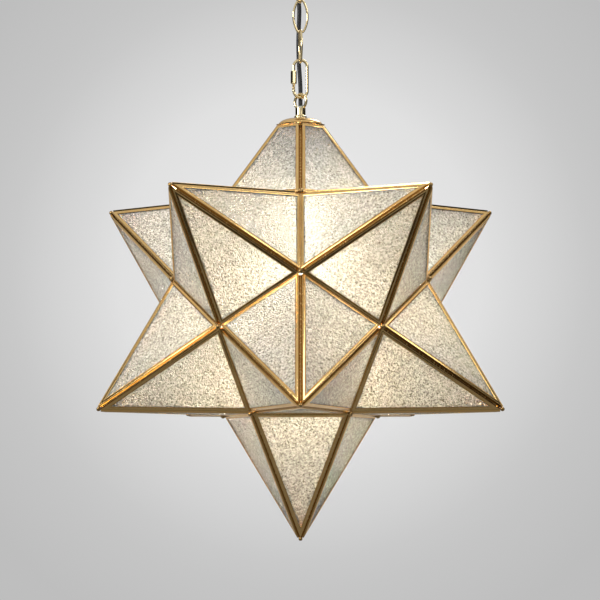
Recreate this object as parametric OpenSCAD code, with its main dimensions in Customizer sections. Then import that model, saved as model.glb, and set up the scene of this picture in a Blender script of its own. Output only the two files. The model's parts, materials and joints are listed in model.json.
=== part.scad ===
// Star chandelier: a twelve pointed star of textured glass panes in brass
// came, hung from a domed canopy by three chain links and a quick link.
// The origin is the centre of the bracket face that lies on the ceiling,
// +Z is up and -Y is towards the viewer.

/* [Star] */
// Length of the valley edges, where two points of the star meet
edge = 98.6; // [85:0.1:115]
// Height of a point above the pentagon that it stands on
point_height = 131.5; // [115:0.5:145]
// Height of the cut-off top point, up to its collar
collar_height = 77.2; // [65:0.1:85]
// Corner radius of the five-sided collar at the top
collar_radius = 26.8; // [24:0.1:29]

/* [Glass and came] */
// Thickness of a brass came, square to its pane
came_thickness = 4.1; // [3.5:0.1:5]
// Width of the came that lies over the glass
came_width = 3.5; // [2.5:0.1:5]
// Thickness of the web along the edge of the glass
came_web = 0.5; // [0.4:0.05:0.8]
// Thickness of a glass pane
glass_thickness = 3; // [2.5:0.1:3.2]
// Room between the edge of the glass and the web
glazing_gap = 0.3; // [0.1:0.05:0.6]
// Gap between two cames that are soldered together
came_gap = 0.04; // [0.02:0.01:0.2]
// Depth of a solder seam
seam_depth = 1.2; // [0.8:0.1:2]
// Radius of the solder bead on a tip
tip_bead_r = 2.2; // [1.6:0.1:2.6]

/* [Door] */
// Outer radius of the hinge tubes of the rear door
knuckle_r = 1.7; // [1.5:0.1:2.2]
// Radius of the hinge pin
pin_r = 0.8; // [0.6:0.1:0.9]
// Running clearance round the hinge pin
pin_fit = 0.06; // [0.03:0.01:0.1]
// Length of each outer hinge tube
side_knuckle_length = 10; // [6:0.5:14]
// Length of the middle hinge tube, which turns with the door
door_knuckle_length = 16; // [8:0.5:20]
// Clearance of the hinge tubes from each other and from the panes
hinge_gap = 0.2; // [0.15:0.05:0.4]

/* [Cap] */
// Thickness of the plate that closes the collar
cap_plate_thickness = 1.2; // [1:0.1:1.6]
// Radius of the domed cap, which overhangs the flats of the collar
cap_dome_r = 22.8; // [20:0.1:24]
// Height of the domed cap
cap_dome_height = 6.8; // [5:0.1:9]
// Wall of the spun brass cap and canopy
spun_wall = 0.9; // [0.7:0.1:1.4]

/* [Hanging loops] */
// Outer diameter of the ring of a hanging loop
loop_d = 18; // [17:0.1:20]
// Diameter of the wire of the ring
loop_wire_d = 3; // [2.6:0.1:3.4]
// Diameter of the neck under the ring
neck_d = 10.6; // [10:0.1:12]
// Height of the neck
neck_height = 8.8; // [8:0.1:11]
// Diameter of the flange at the foot of the neck
flange_d = 13.1; // [12.5:0.1:16]
// Height of the flange
flange_height = 2.3; // [1.5:0.1:3]
// Height of the ring's centre above the flange
ring_height = 15.5; // [15:0.1:16.5]
// Turn of the star's loop about the vertical, from the quick link's plane
star_loop_turn = -50; // [-60:1:-48]
// Room that the turned loop needs on the quick link
turned_loop_room = 0.3; // [0.3:0.05:1]
// Diameter of the hole for the cord in the neck
cord_hole_d = 6.6; // [6:0.1:7.2]
// Outer diameter of the threaded nipples
nipple_d = 8; // [7.6:0.1:8.4]
// Inner diameter of the threaded nipples
nipple_bore_d = 5.4; // [5:0.1:5.8]

/* [Chain] */
// Turn of the whole chain about the vertical
chain_turn = 10; // [0:1:14]
// Outer length of a chain link
link_length = 36; // [32:0.5:40]
// Outer width of a chain link
link_width = 17; // [15:0.1:18]
// Diameter of the chain wire
link_wire_d = 2.3; // [2:0.1:2.6]
// Radius of the wire's centre line at the ends of a link
link_end_r = 4.3; // [4:0.1:5.5]
// Outer length of the quick link
quick_length = 42; // [38:0.5:46]
// Outer width of the quick link
quick_width = 17.2; // [16:0.1:18.5]
// Diameter of the quick link's wire
quick_wire_d = 3; // [2.6:0.1:3.3]
// Outer diameter of the quick link's sleeve nut
sleeve_d = 5.6; // [5:0.1:6.4]
// Length of the sleeve nut
sleeve_length = 13.6; // [12.5:0.1:14.4]
// Height of the sleeve nut's lower end above the middle of the quick link
sleeve_low = -5.6; // [-6.4:0.1:-5]
// Gap in the quick link that the nut closes
quick_gap = 4.6; // [4:0.1:5]
// Overlap of the closed nut with the upper end of the wire
sleeve_cover = 0.8; // [0.5:0.1:1.2]
// Slack between one link and the next
link_slack = 0.05; // [0.02:0.01:0.1]

/* [Canopy] */
// Diameter of the canopy
canopy_d = 120; // [110:1:140]
// Height of the canopy
canopy_height = 27.7; // [26:0.1:34]
// Diameter of the step round the canopy's middle
canopy_step_d = 84; // [76:1:92]
// Height of the canopy's straight rim
canopy_rim = 5; // [4:0.5:7]

/* [Ceiling bracket] */
// Length of the bracket
bracket_length = 104; // [100:1:106]
// Width of the bracket
bracket_width = 16; // [14:0.5:20]
// Thickness of the bracket
bracket_thickness = 2; // [1.6:0.1:2.5]
// Distance of a ceiling screw from the end of the bracket
screw_margin = 7.5; // [7:0.1:9]
// Width of the slots for the ceiling screws
screw_slot_w = 4.4; // [4:0.1:4.8]
// Length of the slots for the ceiling screws
screw_slot_length = 9; // [7:0.5:10]

/* [Lamp] */
// Height of the middle of the bulb above the star's centre
bulb_middle = 57; // [50:0.5:62]
// Diameter of the bulb
bulb_d = 60; // [55:0.5:62]
// Distance from the bulb's middle to the rim of its screw base
bulb_neck = 50; // [46:0.5:54]
// Radius of the bulb's screw base
bulb_base_r = 13.1; // [12.9:0.05:13.2]
// Length of the bulb's screw base
bulb_base_length = 24; // [22:0.5:26]
// Outer radius of the lampholder
holder_r = 19; // [18:0.1:21]
// Length of the lampholder's skirt
holder_length = 30; // [28:0.5:34]
// Height of the lampholder's cap
holder_cap_height = 15; // [12:0.5:18]

/* [Cord] */
// Diameter of the cord
cord_d = 4.4; // [4:0.1:4.6]

/* [Hidden] */

$fn = 48;
sides = 5;
turn = 360 / sides;

// Dodecahedron on which the points stand
golden = (1 + sqrt(5)) / 2;
face_tilt = acos(1 / sqrt(5));
base_apothem = edge / (2 * tan(turn / 2));
base_radius = edge / (2 * sin(turn / 2));
core_radius = edge * golden * golden / (2 * sqrt(3 - golden));

// Cut-off top point: its slope runs from the base to the collar
collar_apothem = collar_radius * cos(turn / 2);
top_full_height = collar_height * base_apothem / (base_apothem - collar_apothem);

// Set-back of the cames from a ridge, so that their inner corners meet there
function normals_angle(height) =
    acos((height * height * cos(turn) + base_apothem * base_apothem)
        / (height * height + base_apothem * base_apothem));
function set_back(height) = came_thickness * tan(normals_angle(height) / 2) + came_gap / 2;
function slope(height) = atan2(height, base_apothem);
function slant(height) = norm([height, base_apothem]);

// Outline of a pane's came in the pane's own plane, drawn in by a margin.
// The base lies along X, the slant along Y and cut is where the slant stops.
function apex_half_angle(height) = atan2(edge / 2, slant(height));
function half_width(height, margin, y) =
    (slant(height) - y) * tan(apex_half_angle(height))
        - (set_back(height) + margin) / cos(apex_half_angle(height));
function came_outline(height, cut, margin) =
    let (low = came_gap / 2 + margin,
        high = cut - margin,
        tip = slant(height) - (set_back(height) + margin) / sin(apex_half_angle(height)))
    high < tip
        ? [[-half_width(height, margin, low), low], [half_width(height, margin, low), low],
            [half_width(height, margin, high), high], [-half_width(height, margin, high), high]]
        : [[-half_width(height, margin, low), low], [half_width(height, margin, low), low],
            [0, tip]];
top_cut = slant(top_full_height) * collar_height / top_full_height;
glass_level = (came_thickness - glass_thickness) / 2;

screw_spacing = bracket_length - 2 * screw_margin;

// Heights along the hanging, from the ceiling down to the star's centre
loop_ring_r = (loop_d - loop_wire_d) / 2;
link_r = link_wire_d / 2;
quick_r = quick_wire_d / 2;
loop_r = loop_wire_d / 2;
canopy_ring_z = -canopy_height - flange_height - ring_height;
link_pitch = link_length - link_wire_d;
link_3_top = canopy_ring_z - loop_ring_r + loop_r + link_r + link_slack;
link_2_top = link_3_top - link_pitch + link_wire_d + link_slack;
link_1_top = link_2_top - link_pitch + link_wire_d + link_slack;
quick_pitch = quick_length - quick_wire_d;
quick_top = link_1_top - link_pitch + link_r + quick_r + link_slack;
star_ring_z = quick_top - quick_pitch + quick_r + loop_r + turned_loop_room - loop_ring_r;
cap_height = core_radius + collar_height;
dome_top = cap_height + cap_plate_thickness + cap_dome_height;
star_z = star_ring_z - ring_height - flange_height - dome_top;

// Places of the points, as turns about the vertical from the front
upper_turns = [-36, 36, -108, 108, 180];
lower_turns = [0, -72, 72, -144, 144];
door_turn = 180;
front = -90;

// Hinge of the door, in the valley above it
door_slope = slope(point_height) - face_tilt;
top_slope = 180 - slope(top_full_height);
valley_half = (top_slope - door_slope) / 2;
hinge_reach = (knuckle_r + hinge_gap) / sin(valley_half);
hinge_y = base_apothem + hinge_reach * cos(door_slope + valley_half);
hinge_z = core_radius + hinge_reach * sin(door_slope + valley_half);
leaf_thickness = 0.8;
leaf_length = came_width - hinge_reach * cos(valley_half) - 0.1;

brass = [0.80, 0.62, 0.33];
polished_brass = [0.86, 0.72, 0.42];
solder = [0.83, 0.74, 0.55];
glass = [0.90, 0.93, 0.86, 0.45];
white = [0.93, 0.92, 0.88];

// Placing

module at_star() { translate([0, 0, star_z]) children(); }

// Puts a point that is drawn on the +Z axis into its place on the star
module on_point(tilt, azimuth) {
    rotate([0, 0, front + azimuth]) rotate([0, tilt, 0]) children();
}
module upper_point(azimuth) { on_point(face_tilt, azimuth) children(); }
module lower_point(azimuth) { on_point(180 - face_tilt, azimuth) children(); }

// Puts a flat pane, drawn with its outer face at height 0, on a point's side
module on_side(height, k, phase) {
    rotate([0, 0, phase + turn * k]) translate([base_apothem, 0, core_radius])
        rotate([0, 0, 90]) rotate([slope(height), 0, 0]) children();
}

// One came frame: four or three brass bars with a slot for the glass
module came_frame(height, cut) {
    difference() {
        translate([0, 0, -came_thickness]) linear_extrude(came_thickness)
            difference() {
                polygon(came_outline(height, cut, 0));
                polygon(came_outline(height, cut, came_width));
            }
        translate([0, 0, -came_thickness + glass_level]) linear_extrude(glass_thickness)
            polygon(came_outline(height, cut, came_web));
    }
}
module pane(height, cut) {
    translate([0, 0, -came_thickness + glass_level]) linear_extrude(glass_thickness)
        polygon(came_outline(height, cut, came_web + glazing_gap));
}
module five_frames(height, cut, phase) {
    color(brass) for (k = [0 : sides - 1]) on_side(height, k, phase) came_frame(height, cut);
}
module five_panes(height, cut, phase) {
    color(glass) for (k = [0 : sides - 1]) on_side(height, k, phase) pane(height, cut);
}

upper_phase = turn / 2;
lower_phase = 0;
top_phase = turn / 2;
bottom_phase = turn / 2;
full_cut = slant(point_height);

module upper_frames(azimuth) {
    at_star() upper_point(azimuth) five_frames(point_height, full_cut, upper_phase);
}
module upper_panes(azimuth) {
    at_star() upper_point(azimuth) five_panes(point_height, full_cut, upper_phase);
}
module lower_frames(azimuth) {
    at_star() lower_point(azimuth) five_frames(point_height, full_cut, lower_phase);
}
module lower_panes(azimuth) {
    at_star() lower_point(azimuth) five_panes(point_height, full_cut, lower_phase);
}
module top_frames() {
    at_star() on_point(0, 0) five_frames(top_full_height, top_cut, top_phase);
}
module top_panes() {
    at_star() on_point(0, 0) five_panes(top_full_height, top_cut, top_phase);
}
module bottom_frames() {
    at_star() on_point(180, 0) five_frames(point_height, full_cut, bottom_phase);
}
module bottom_panes() {
    at_star() on_point(180, 0) five_panes(point_height, full_cut, bottom_phase);
}

// Solder

// Seam at the root of a ridge's groove: a wedge that follows the ridge
module ridge_seam(height, k, phase, first, last) {
    half = normals_angle(height) / 2;
    ridge_length = norm([height, base_radius]);
    lean = atan2(base_radius, height);
    rotate([0, 0, phase + turn * (k + 0.5)]) translate([base_radius, 0, core_radius])
        rotate([0, -lean, 0]) translate([-came_thickness / cos(half), 0, first])
        linear_extrude(min(last, ridge_length) - first)
        polygon([[0, 0], [seam_depth, -seam_depth * tan(half)], [seam_depth, seam_depth * tan(half)]]);
}
seam_first = came_thickness;
tip_room = (set_back(point_height) / sin(apex_half_angle(point_height)))
    * norm([point_height, base_radius]) / slant(point_height);
module point_seams(phase) {
    for (k = [0 : sides - 1])
        ridge_seam(point_height, k, phase, seam_first,
            norm([point_height, base_radius]) - tip_room - came_thickness);
}
module top_seams() {
    for (k = [0 : sides - 1])
        ridge_seam(top_full_height, k, top_phase, seam_first,
            norm([top_full_height, base_radius]) * collar_height / top_full_height - came_thickness);
}
module ridge_solder() {
    color(solder) at_star() {
        for (a = upper_turns) if (a != door_turn) upper_point(a) point_seams(upper_phase);
        for (a = lower_turns) lower_point(a) point_seams(lower_phase);
        on_point(180, 0) point_seams(bottom_phase);
        on_point(0, 0) top_seams();
    }
}

// Seam behind a valley edge: a wedge whose tip is on the edge
valley_seam_half = 24;
module valley_seam(angle) {
    valley_tilt = atan2(base_apothem, core_radius);
    rotate([0, 0, angle]) rotate([0, valley_tilt, 0])
        translate([0, 0, norm([base_apothem, core_radius])]) rotate([-90, 0, 0])
        translate([0, 0, -edge / 2 + 2 * came_thickness])
        linear_extrude(edge - 4 * came_thickness)
        polygon([[0, 0], [-seam_depth * tan(valley_seam_half), seam_depth],
            [seam_depth * tan(valley_seam_half), seam_depth]]);
}
module valley_solder() {
    color(solder) at_star() {
        for (k = [0 : sides - 1]) {
            if (k != 3) on_point(0, 0) valley_seam(top_phase + turn * k);
            on_point(180, 0) valley_seam(bottom_phase + turn * k);
            lower_point(turn * k) valley_seam(lower_phase + turn);
        }
        for (a = upper_turns) if (a != door_turn) upper_point(a) {
            valley_seam(upper_phase);
            valley_seam(-upper_phase);
            if (a != 108) valley_seam(upper_phase + turn);
        }
    }
}

// Bead in the cup where five cames meet at a tip
tip_low = set_back(point_height) / sin(apex_half_angle(point_height));
tip_level = core_radius + point_height - tip_low * sin(slope(point_height));
tip_bead_level = tip_level + (tip_bead_r + came_gap
    - tip_low * pow(cos(slope(point_height)), 2)) / sin(slope(point_height));
module tip_bead() { translate([0, 0, tip_bead_level]) sphere(r = tip_bead_r); }
vertex_bead_r = set_back(point_height) - 2 * came_gap;
module vertex_bead(r) { translate([base_radius, 0, core_radius]) sphere(r = r); }
door_vertex_bead_r = vertex_bead_r / 2;
module corner_beads() {
    color(solder) at_star() {
        for (a = upper_turns) if (a != door_turn) upper_point(a) tip_bead();
        for (a = lower_turns) lower_point(a) tip_bead();
        on_point(180, 0) tip_bead();
        for (k = [0 : sides - 1]) {
            front_vertex = k * turn;
            rotate([0, 0, front + front_vertex])
                vertex_bead(abs(front_vertex - 180) < turn ? door_vertex_bead_r : vertex_bead_r);
            rotate([0, 0, front + front_vertex]) rotate([180, 0, 180]) vertex_bead(vertex_bead_r);
        }
        for (a = upper_turns) if (a != door_turn) upper_point(a) vertex_bead(vertex_bead_r);
        upper_point(door_turn) vertex_bead(door_vertex_bead_r);
        for (a = lower_turns)
            lower_point(a) rotate([0, 0, 180])
                vertex_bead(abs(a) == 144 ? door_vertex_bead_r : vertex_bead_r);
    }
}
module door_solder() {
    color(solder) at_star() upper_point(door_turn) {
        point_seams(upper_phase);
        tip_bead();
    }
}

// Door hinge, along X in the valley over the rear door

// A tube with a leaf that lies on the came at this angle; the came is on its
// left (1) or right (-1), seen along the hinge
module hinge_tube(from, to, leaf_angle, came_side) {
    seat = knuckle_r + hinge_gap - came_gap / 2;
    translate([0, hinge_y, hinge_z]) rotate([0, 90, 0]) difference() {
        union() {
            translate([0, 0, from]) cylinder(r = knuckle_r, h = to - from);
            translate([0, 0, from]) linear_extrude(to - from)
                rotate(90 + leaf_angle)
                translate([0, came_side > 0 ? seat - leaf_thickness : -seat])
                square([leaf_length, leaf_thickness]);
        }
        translate([0, 0, from - 1]) cylinder(r = pin_r + pin_fit, h = to - from + 2);
    }
}
pin_head_share = 0.75;
side_from = door_knuckle_length / 2 + hinge_gap;
side_to = side_from + side_knuckle_length;
module hinge_knuckles() {
    color(brass) at_star() for (m = [0, 1]) mirror([m, 0, 0])
        hinge_tube(side_from, side_to, top_slope, 1);
}
module door_knuckle() {
    color(brass) at_star()
        hinge_tube(-door_knuckle_length / 2, door_knuckle_length / 2, door_slope, -1);
}
module hinge_pin() {
    color(polished_brass) at_star() translate([0, hinge_y, hinge_z]) rotate([0, 90, 0]) {
        cylinder(r = pin_r, h = 2 * side_to, center = true);
        for (m = [0, 1]) mirror([0, 0, m]) translate([0, 0, side_to])
            cylinder(r = pin_head_share * knuckle_r, h = pin_r);
    }
}

// Cap of the star

bore_room = 0.1;
module cap_plate() {
    color(brass) at_star() translate([0, 0, cap_height]) rotate([0, 0, front])
        difference() {
            cylinder(r = collar_radius - came_gap, h = cap_plate_thickness, $fn = sides);
            translate([0, 0, -1])
                cylinder(r = nipple_d / 2 + bore_room, h = cap_plate_thickness + 2);
        }
}
// Spun dome: a flat seat for the loop's flange, then a quarter of an ellipse
module dome_shell(r, h, wall) {
    seat_r = flange_d / 2;
    steps = 12;
    function curve(inset) = [for (i = [0 : steps])
        [seat_r + (r - inset - seat_r) * sin(90 * i / steps), (h - inset) * cos(90 * i / steps)]];
    inside = curve(wall);
    hole_r = nipple_d / 2 + bore_room;
    rotate_extrude($fn = 96) polygon(concat([[hole_r, h]], curve(0),
        [for (i = [steps : -1 : 0]) inside[i]], [[hole_r, h - wall]]));
}
module cap_dome() {
    color(brass) at_star() translate([0, 0, cap_height + cap_plate_thickness])
        dome_shell(cap_dome_r, cap_dome_height, spun_wall);
}

// Hanging loop: flange, neck and ring, drawn upright on its flange

module hanging_loop() {
    difference() {
        union() {
            cylinder(d = flange_d, h = flange_height);
            cylinder(d = neck_d, h = flange_height + neck_height);
            translate([0, 0, flange_height + ring_height]) rotate([90, 0, 0]) rotate_extrude($fn = 96)
                translate([loop_ring_r, 0]) circle(d = loop_wire_d, $fn = 32);
        }
        translate([0, 0, -1])
            cylinder(d = cord_hole_d, h = flange_height + neck_height + grommet_head + bore_run);
        translate([0, 0, -1]) cylinder(d = nipple_d + thread_room, h = socket_depth + 1);
    }
}
// Room between a nipple and the thread that it is screwed into, on the diameter
thread_room = 0.1;
socket_depth = 6;
// How far the cord's bore runs on above the grommet, between the ring's legs
bore_run = 1.2;
grommet_head = 1.8;
grommet_stem = 3;
grommet_fit = 0.05;
grommet_lip = 0.3;
module grommet() {
    translate([0, 0, flange_height + neck_height]) {
        cylinder(r1 = cord_hole_d / 2 - grommet_fit, r2 = cord_d / 2 + grommet_lip, h = grommet_head);
        translate([0, 0, -grommet_stem]) cylinder(r = cord_hole_d / 2 - grommet_fit, h = grommet_stem);
    }
}
module upright_on_star() { at_star() translate([0, 0, dome_top]) children(); }
module under_canopy() { translate([0, 0, -canopy_height]) rotate([180, 0, 0]) children(); }
module star_loop() {
    color(polished_brass) upright_on_star() rotate([0, 0, chain_turn + star_loop_turn])
        hanging_loop();
}
module star_grommet() { color(white) upright_on_star() grommet(); }
module canopy_loop() {
    color(polished_brass) under_canopy() rotate([0, 0, -chain_turn]) hanging_loop();
}
module canopy_grommet() { color(white) under_canopy() grommet(); }

// Chain

// Part of a ring of wire: radius, wire diameter, first angle and sweep
module wire_arc(radius, wire, first, sweep) {
    rotate([0, 0, first]) rotate_extrude(angle = sweep, $fn = 96)
        translate([radius, 0]) circle(d = wire, $fn = 32);
}
link_half_width = (link_width - link_wire_d) / 2;
link_end_centre = link_pitch / 2 - link_end_r;
link_side_r = (link_half_width * link_half_width + link_end_centre * link_end_centre
    - link_end_r * link_end_r) / (2 * (link_half_width - link_end_r));
link_side_angle = asin(link_end_centre / (link_side_r - link_end_r));
link_steps = 10;
// A quarter of the pointed oval: a wide side arc, then a tight end arc
function side_point(a) =
    [link_half_width - link_side_r + link_side_r * cos(a), link_side_r * sin(a)];
function end_point(a) = [link_end_r * cos(a), link_end_centre + link_end_r * sin(a)];
link_quarter = concat(
    [for (i = [0 : link_steps / 2 - 1]) side_point(link_side_angle * 2 * i / link_steps)],
    [for (i = [0 : link_steps - 1])
        end_point(link_side_angle + (90 - link_side_angle) * i / link_steps)]);
quarter_count = len(link_quarter);
// The whole oval, counter-clockwise: the quarter and its three mirror images
link_line = concat(link_quarter, [[0, link_pitch / 2]],
    [for (i = [quarter_count - 1 : -1 : 1]) [-link_quarter[i][0], link_quarter[i][1]]],
    [[-link_half_width, 0]],
    [for (i = [1 : quarter_count - 1]) -link_quarter[i]], [[0, -link_pitch / 2]],
    [for (i = [quarter_count - 1 : -1 : 1]) [link_quarter[i][0], -link_quarter[i][1]]]);
// Wire bent along a closed flat line, which lies in the XY plane
module closed_wire(line, r, n) {
    count = len(line);
    vertices = [for (i = [0 : count - 1])
        let (ahead = line[(i + 1) % count] - line[(i + count - 1) % count],
            out = [ahead[1], -ahead[0]] / norm(ahead))
        for (j = [0 : n - 1])
            [line[i][0] + r * cos(360 * j / n) * out[0],
            line[i][1] + r * cos(360 * j / n) * out[1], r * sin(360 * j / n)]];
    walls = [for (i = [0 : count - 1]) for (j = [0 : n - 1])
        let (a = i * n + j, b = i * n + (j + 1) % n,
            c = ((i + 1) % count) * n + (j + 1) % n, d = ((i + 1) % count) * n + j)
        each [[a, b, c], [a, c, d]]];
    polyhedron(points = vertices, faces = walls, convexity = 6);
}
link_sides = 12;
// A link that hangs below its top, turned about the vertical from the XZ plane
module chain_link(twist) {
    color(polished_brass) rotate([90, 0, chain_turn + twist]) translate([0, -link_pitch / 2, 0])
        closed_wire(link_line, link_r, link_sides);
}
module chain_link_3() { translate([0, 0, link_3_top]) chain_link(90); }
module chain_link_2() { translate([0, 0, link_2_top]) chain_link(0); }
module chain_link_1() { translate([0, 0, link_1_top]) chain_link(90); }

quick_bend_r = (quick_width - quick_wire_d) / 2;
quick_straight = quick_pitch / 2 - quick_bend_r;
sleeve_high = sleeve_low + sleeve_length;
gap_high = sleeve_high - sleeve_cover;
gap_low = gap_high - quick_gap;
module at_quick_link() {
    translate([0, 0, quick_top - quick_pitch / 2]) rotate([0, 0, chain_turn]) children();
}
module quick_link() {
    color(polished_brass) at_quick_link() {
        for (m = [0, 1]) mirror([0, 0, m]) translate([0, 0, quick_straight]) rotate([90, 0, 0])
            wire_arc(quick_bend_r, quick_wire_d, 0, 180);
        translate([quick_bend_r, 0, -quick_straight])
            cylinder(d = quick_wire_d, h = 2 * quick_straight, $fn = 32);
        translate([-quick_bend_r, 0, -quick_straight])
            cylinder(d = quick_wire_d, h = gap_low + quick_straight, $fn = 32);
        translate([-quick_bend_r, 0, gap_high])
            cylinder(d = quick_wire_d, h = quick_straight - gap_high, $fn = 32);
    }
}
module quick_link_nut() {
    chamfer = 0.5;
    color(polished_brass) at_quick_link() translate([-quick_bend_r, 0, sleeve_low])
        difference() {
            intersection() {
                cylinder(d = sleeve_d / cos(30), h = sleeve_length, $fn = 6);
                union() {
                    cylinder(r1 = sleeve_d / 2, r2 = sleeve_d / 2 + chamfer, h = chamfer, $fn = 32);
                    translate([0, 0, chamfer])
                        cylinder(r = sleeve_d / 2 + chamfer, h = sleeve_length - 2 * chamfer, $fn = 32);
                    translate([0, 0, sleeve_length - chamfer])
                        cylinder(r1 = sleeve_d / 2 + chamfer, r2 = sleeve_d / 2, h = chamfer, $fn = 32);
                }
            }
            translate([0, 0, -1]) cylinder(d = quick_wire_d + 0.1, h = sleeve_length + 2);
        }
}

// Canopy and ceiling fixing

// Share of the canopy's height that its step lies below the ceiling
canopy_step_share = 0.45;
// Runs of the bends in the canopy's profile
rim_bend = 3;
step_bend = 3;
step_run = 8;
boss_margin = 3;
boss_slope = 14;
module canopy() {
    r = canopy_d / 2;
    step_r = canopy_step_d / 2;
    step_z = -canopy_height * canopy_step_share;
    boss_r = flange_d / 2 + boss_margin;
    outer = [[r, 0], [r, -canopy_rim], [r - rim_bend, -canopy_rim - rim_bend / 2],
        [step_r + 2 * step_bend, step_z + step_bend / 3], [step_r + step_bend * 2 / 3, step_z],
        [step_r, step_z - step_bend / 2], [step_r - step_run, step_z - 2 * step_bend],
        [boss_r + boss_slope, -canopy_height + rim_bend], [boss_r, -canopy_height],
        [0, -canopy_height]];
    beyond = 9;
    color(brass) rotate_extrude($fn = 96) difference() {
        polygon(concat([[0, 0]], outer));
        offset(delta = -spun_wall)
            polygon(concat([[-beyond, beyond], [r, beyond]], outer, [[-beyond, -canopy_height]]));
        translate([-1, -canopy_height - 1])
            square([nipple_d / 2 + bore_room + 1, canopy_height + 2]);
    }
}
module ceiling_bracket() {
    color(white) translate([0, 0, -bracket_thickness]) difference() {
        translate([-bracket_length / 2, -bracket_width / 2, 0])
            cube([bracket_length, bracket_width, bracket_thickness]);
        for (m = [0, 1]) mirror([m, 0, 0]) translate([screw_spacing / 2, 0, -1])
            linear_extrude(bracket_thickness + 2) {
                slot_run = screw_slot_length - screw_slot_w;
                for (e = [-0.5, 0.5]) translate([e * slot_run, 0]) circle(d = screw_slot_w);
                square([slot_run, screw_slot_w], center = true);
            }
        translate([0, 0, -1]) cylinder(d = nipple_d + thread_room, h = bracket_thickness + 2);
    }
}
module nipple(from, to) {
    translate([0, 0, from]) difference() {
        cylinder(d = nipple_d, h = to - from);
        translate([0, 0, -1]) cylinder(d = nipple_bore_d, h = to - from + 2);
    }
}
module hex_nut(size, h) {
    difference() {
        cylinder(d = size / cos(30), h = h, $fn = 6);
        translate([0, 0, -1]) cylinder(d = nipple_d + thread_room, h = h + 2);
    }
}
nut_size = 13;
nut_height = 3;
// Distance that a nipple stays short of the end of its thread
nipple_short = 0.5;
module canopy_nipple() {
    color(brass) nipple(-canopy_height - socket_depth + nipple_short, -nipple_short);
}
module canopy_nut() {
    color(brass) translate([0, 0, -bracket_thickness - nut_height]) hex_nut(nut_size, nut_height);
}
// The block lies along the bracket, up to one of the screw slots
module terminal_block() {
    length = 24;
    width = 10;
    height = 9;
    ways = 3;
    wire_hole_d = 3.2;
    color(white) translate([(screw_spacing - screw_slot_length) / 2 - length, -width / 2,
        -bracket_thickness - height]) difference() {
        cube([length, width, height]);
        for (i = [0 : ways - 1])
            translate([length / ways * (i + 0.5), -1, height / 2]) rotate([-90, 0, 0])
            cylinder(d = wire_hole_d, h = width + 2, $fn = 24);
    }
}

// Lamp

// Room over the bulb's contact, and depth of the nipple in the holder's cap
contact_room = 6;
nipple_depth = 8;
holder_top = bulb_middle + bulb_neck + bulb_base_length + contact_room;
module support_nipple() {
    color(brass) at_star() nipple(holder_top + holder_cap_height - nipple_depth,
        dome_top + socket_depth - nipple_short);
}
module support_nut() {
    color(brass) at_star() translate([0, 0, cap_height - nut_height]) hex_nut(nut_size, nut_height);
}
module holder_cap() {
    wall = 2;
    rim = 4;
    shoulder = 3;
    shoulder_z = 9;
    top_r = nipple_d / 2 + 3;
    top_wall = 3;
    color(white) at_star() translate([0, 0, holder_top]) rotate_extrude($fn = 72) difference() {
        polygon([[0, 0], [holder_r, 0], [holder_r, rim], [holder_r - shoulder, shoulder_z],
            [top_r, holder_cap_height], [0, holder_cap_height]]);
        polygon([[-1, -1], [holder_r - wall, -1], [holder_r - wall, rim - wall * 0.3],
            [holder_r - shoulder - wall * 0.8, shoulder_z - wall * 0.7],
            [top_r - wall / 2, holder_cap_height - top_wall], [-1, holder_cap_height - top_wall]]);
        translate([-1, -1])
            square([nipple_d / 2 + thread_room / 2 + 1, holder_cap_height + 2]);
    }
}
// The skirt widens to a rib over its last part
module holder_skirt() {
    wall = 2.2;
    taper = 1;
    rib_step = 0.4;
    rib = 11;
    color(white) at_star() translate([0, 0, holder_top - holder_length])
        rotate_extrude($fn = 72) difference() {
            polygon([[0, 0], [holder_r - taper, 0], [holder_r - rib_step, holder_length - rib - 1],
                [holder_r, holder_length - rib], [holder_r, holder_length], [0, holder_length]]);
            translate([-1, -1]) square([holder_r - wall + 1, holder_length + 2]);
        }
}
// Brass thread shell that the bulb is screwed into, on a ring in the skirt
module holder_shell() {
    wall = 0.6;
    shell_r = bulb_base_r + 1.1;
    recess = 6;
    ring = 2;
    ring_room = 2.3;
    length = holder_length - recess;
    color(polished_brass) at_star() translate([0, 0, holder_top - length]) {
        difference() {
            cylinder(r = shell_r, h = length);
            translate([0, 0, -1]) cylinder(r = shell_r - wall, h = length - ring + 1);
        }
        translate([0, 0, length - ring]) difference() {
            cylinder(r = holder_r - ring_room, h = ring);
            translate([0, 0, -1]) cylinder(r = shell_r - 0.01, h = ring + 2);
        }
    }
}
// Step from the bulb's glass to its base
neck_step = 0.4;
bulb_top = bulb_middle + bulb_neck;
module bulb_glass() {
    r = bulb_d / 2;
    neck_r = bulb_base_r + neck_step;
    blend_angle = 38;
    color([0.98, 0.96, 0.9, 0.8]) at_star() rotate_extrude($fn = 72) intersection() {
        union() {
            translate([0, bulb_middle]) circle(r = r, $fn = 120);
            polygon([[0, bulb_middle], [r * cos(blend_angle), bulb_middle + r * sin(blend_angle)],
                [neck_r, bulb_top], [0, bulb_top]]);
        }
        translate([0, bulb_middle - r]) square([r, bulb_neck + r]);
    }
}
// Screw base: thread, cone of glass and centre contact
module bulb_base() {
    cone = 3;
    contact = 2;
    contact_r = 5;
    thread = bulb_base_length - cone - contact;
    color([0.8, 0.8, 0.8]) at_star() translate([0, 0, bulb_top]) {
        cylinder(r = bulb_base_r, h = thread);
        translate([0, 0, thread]) cylinder(r1 = bulb_base_r, r2 = contact_r + 1, h = cone);
        translate([0, 0, thread + cone]) cylinder(r = contact_r, h = contact);
    }
}

// Cord

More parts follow.
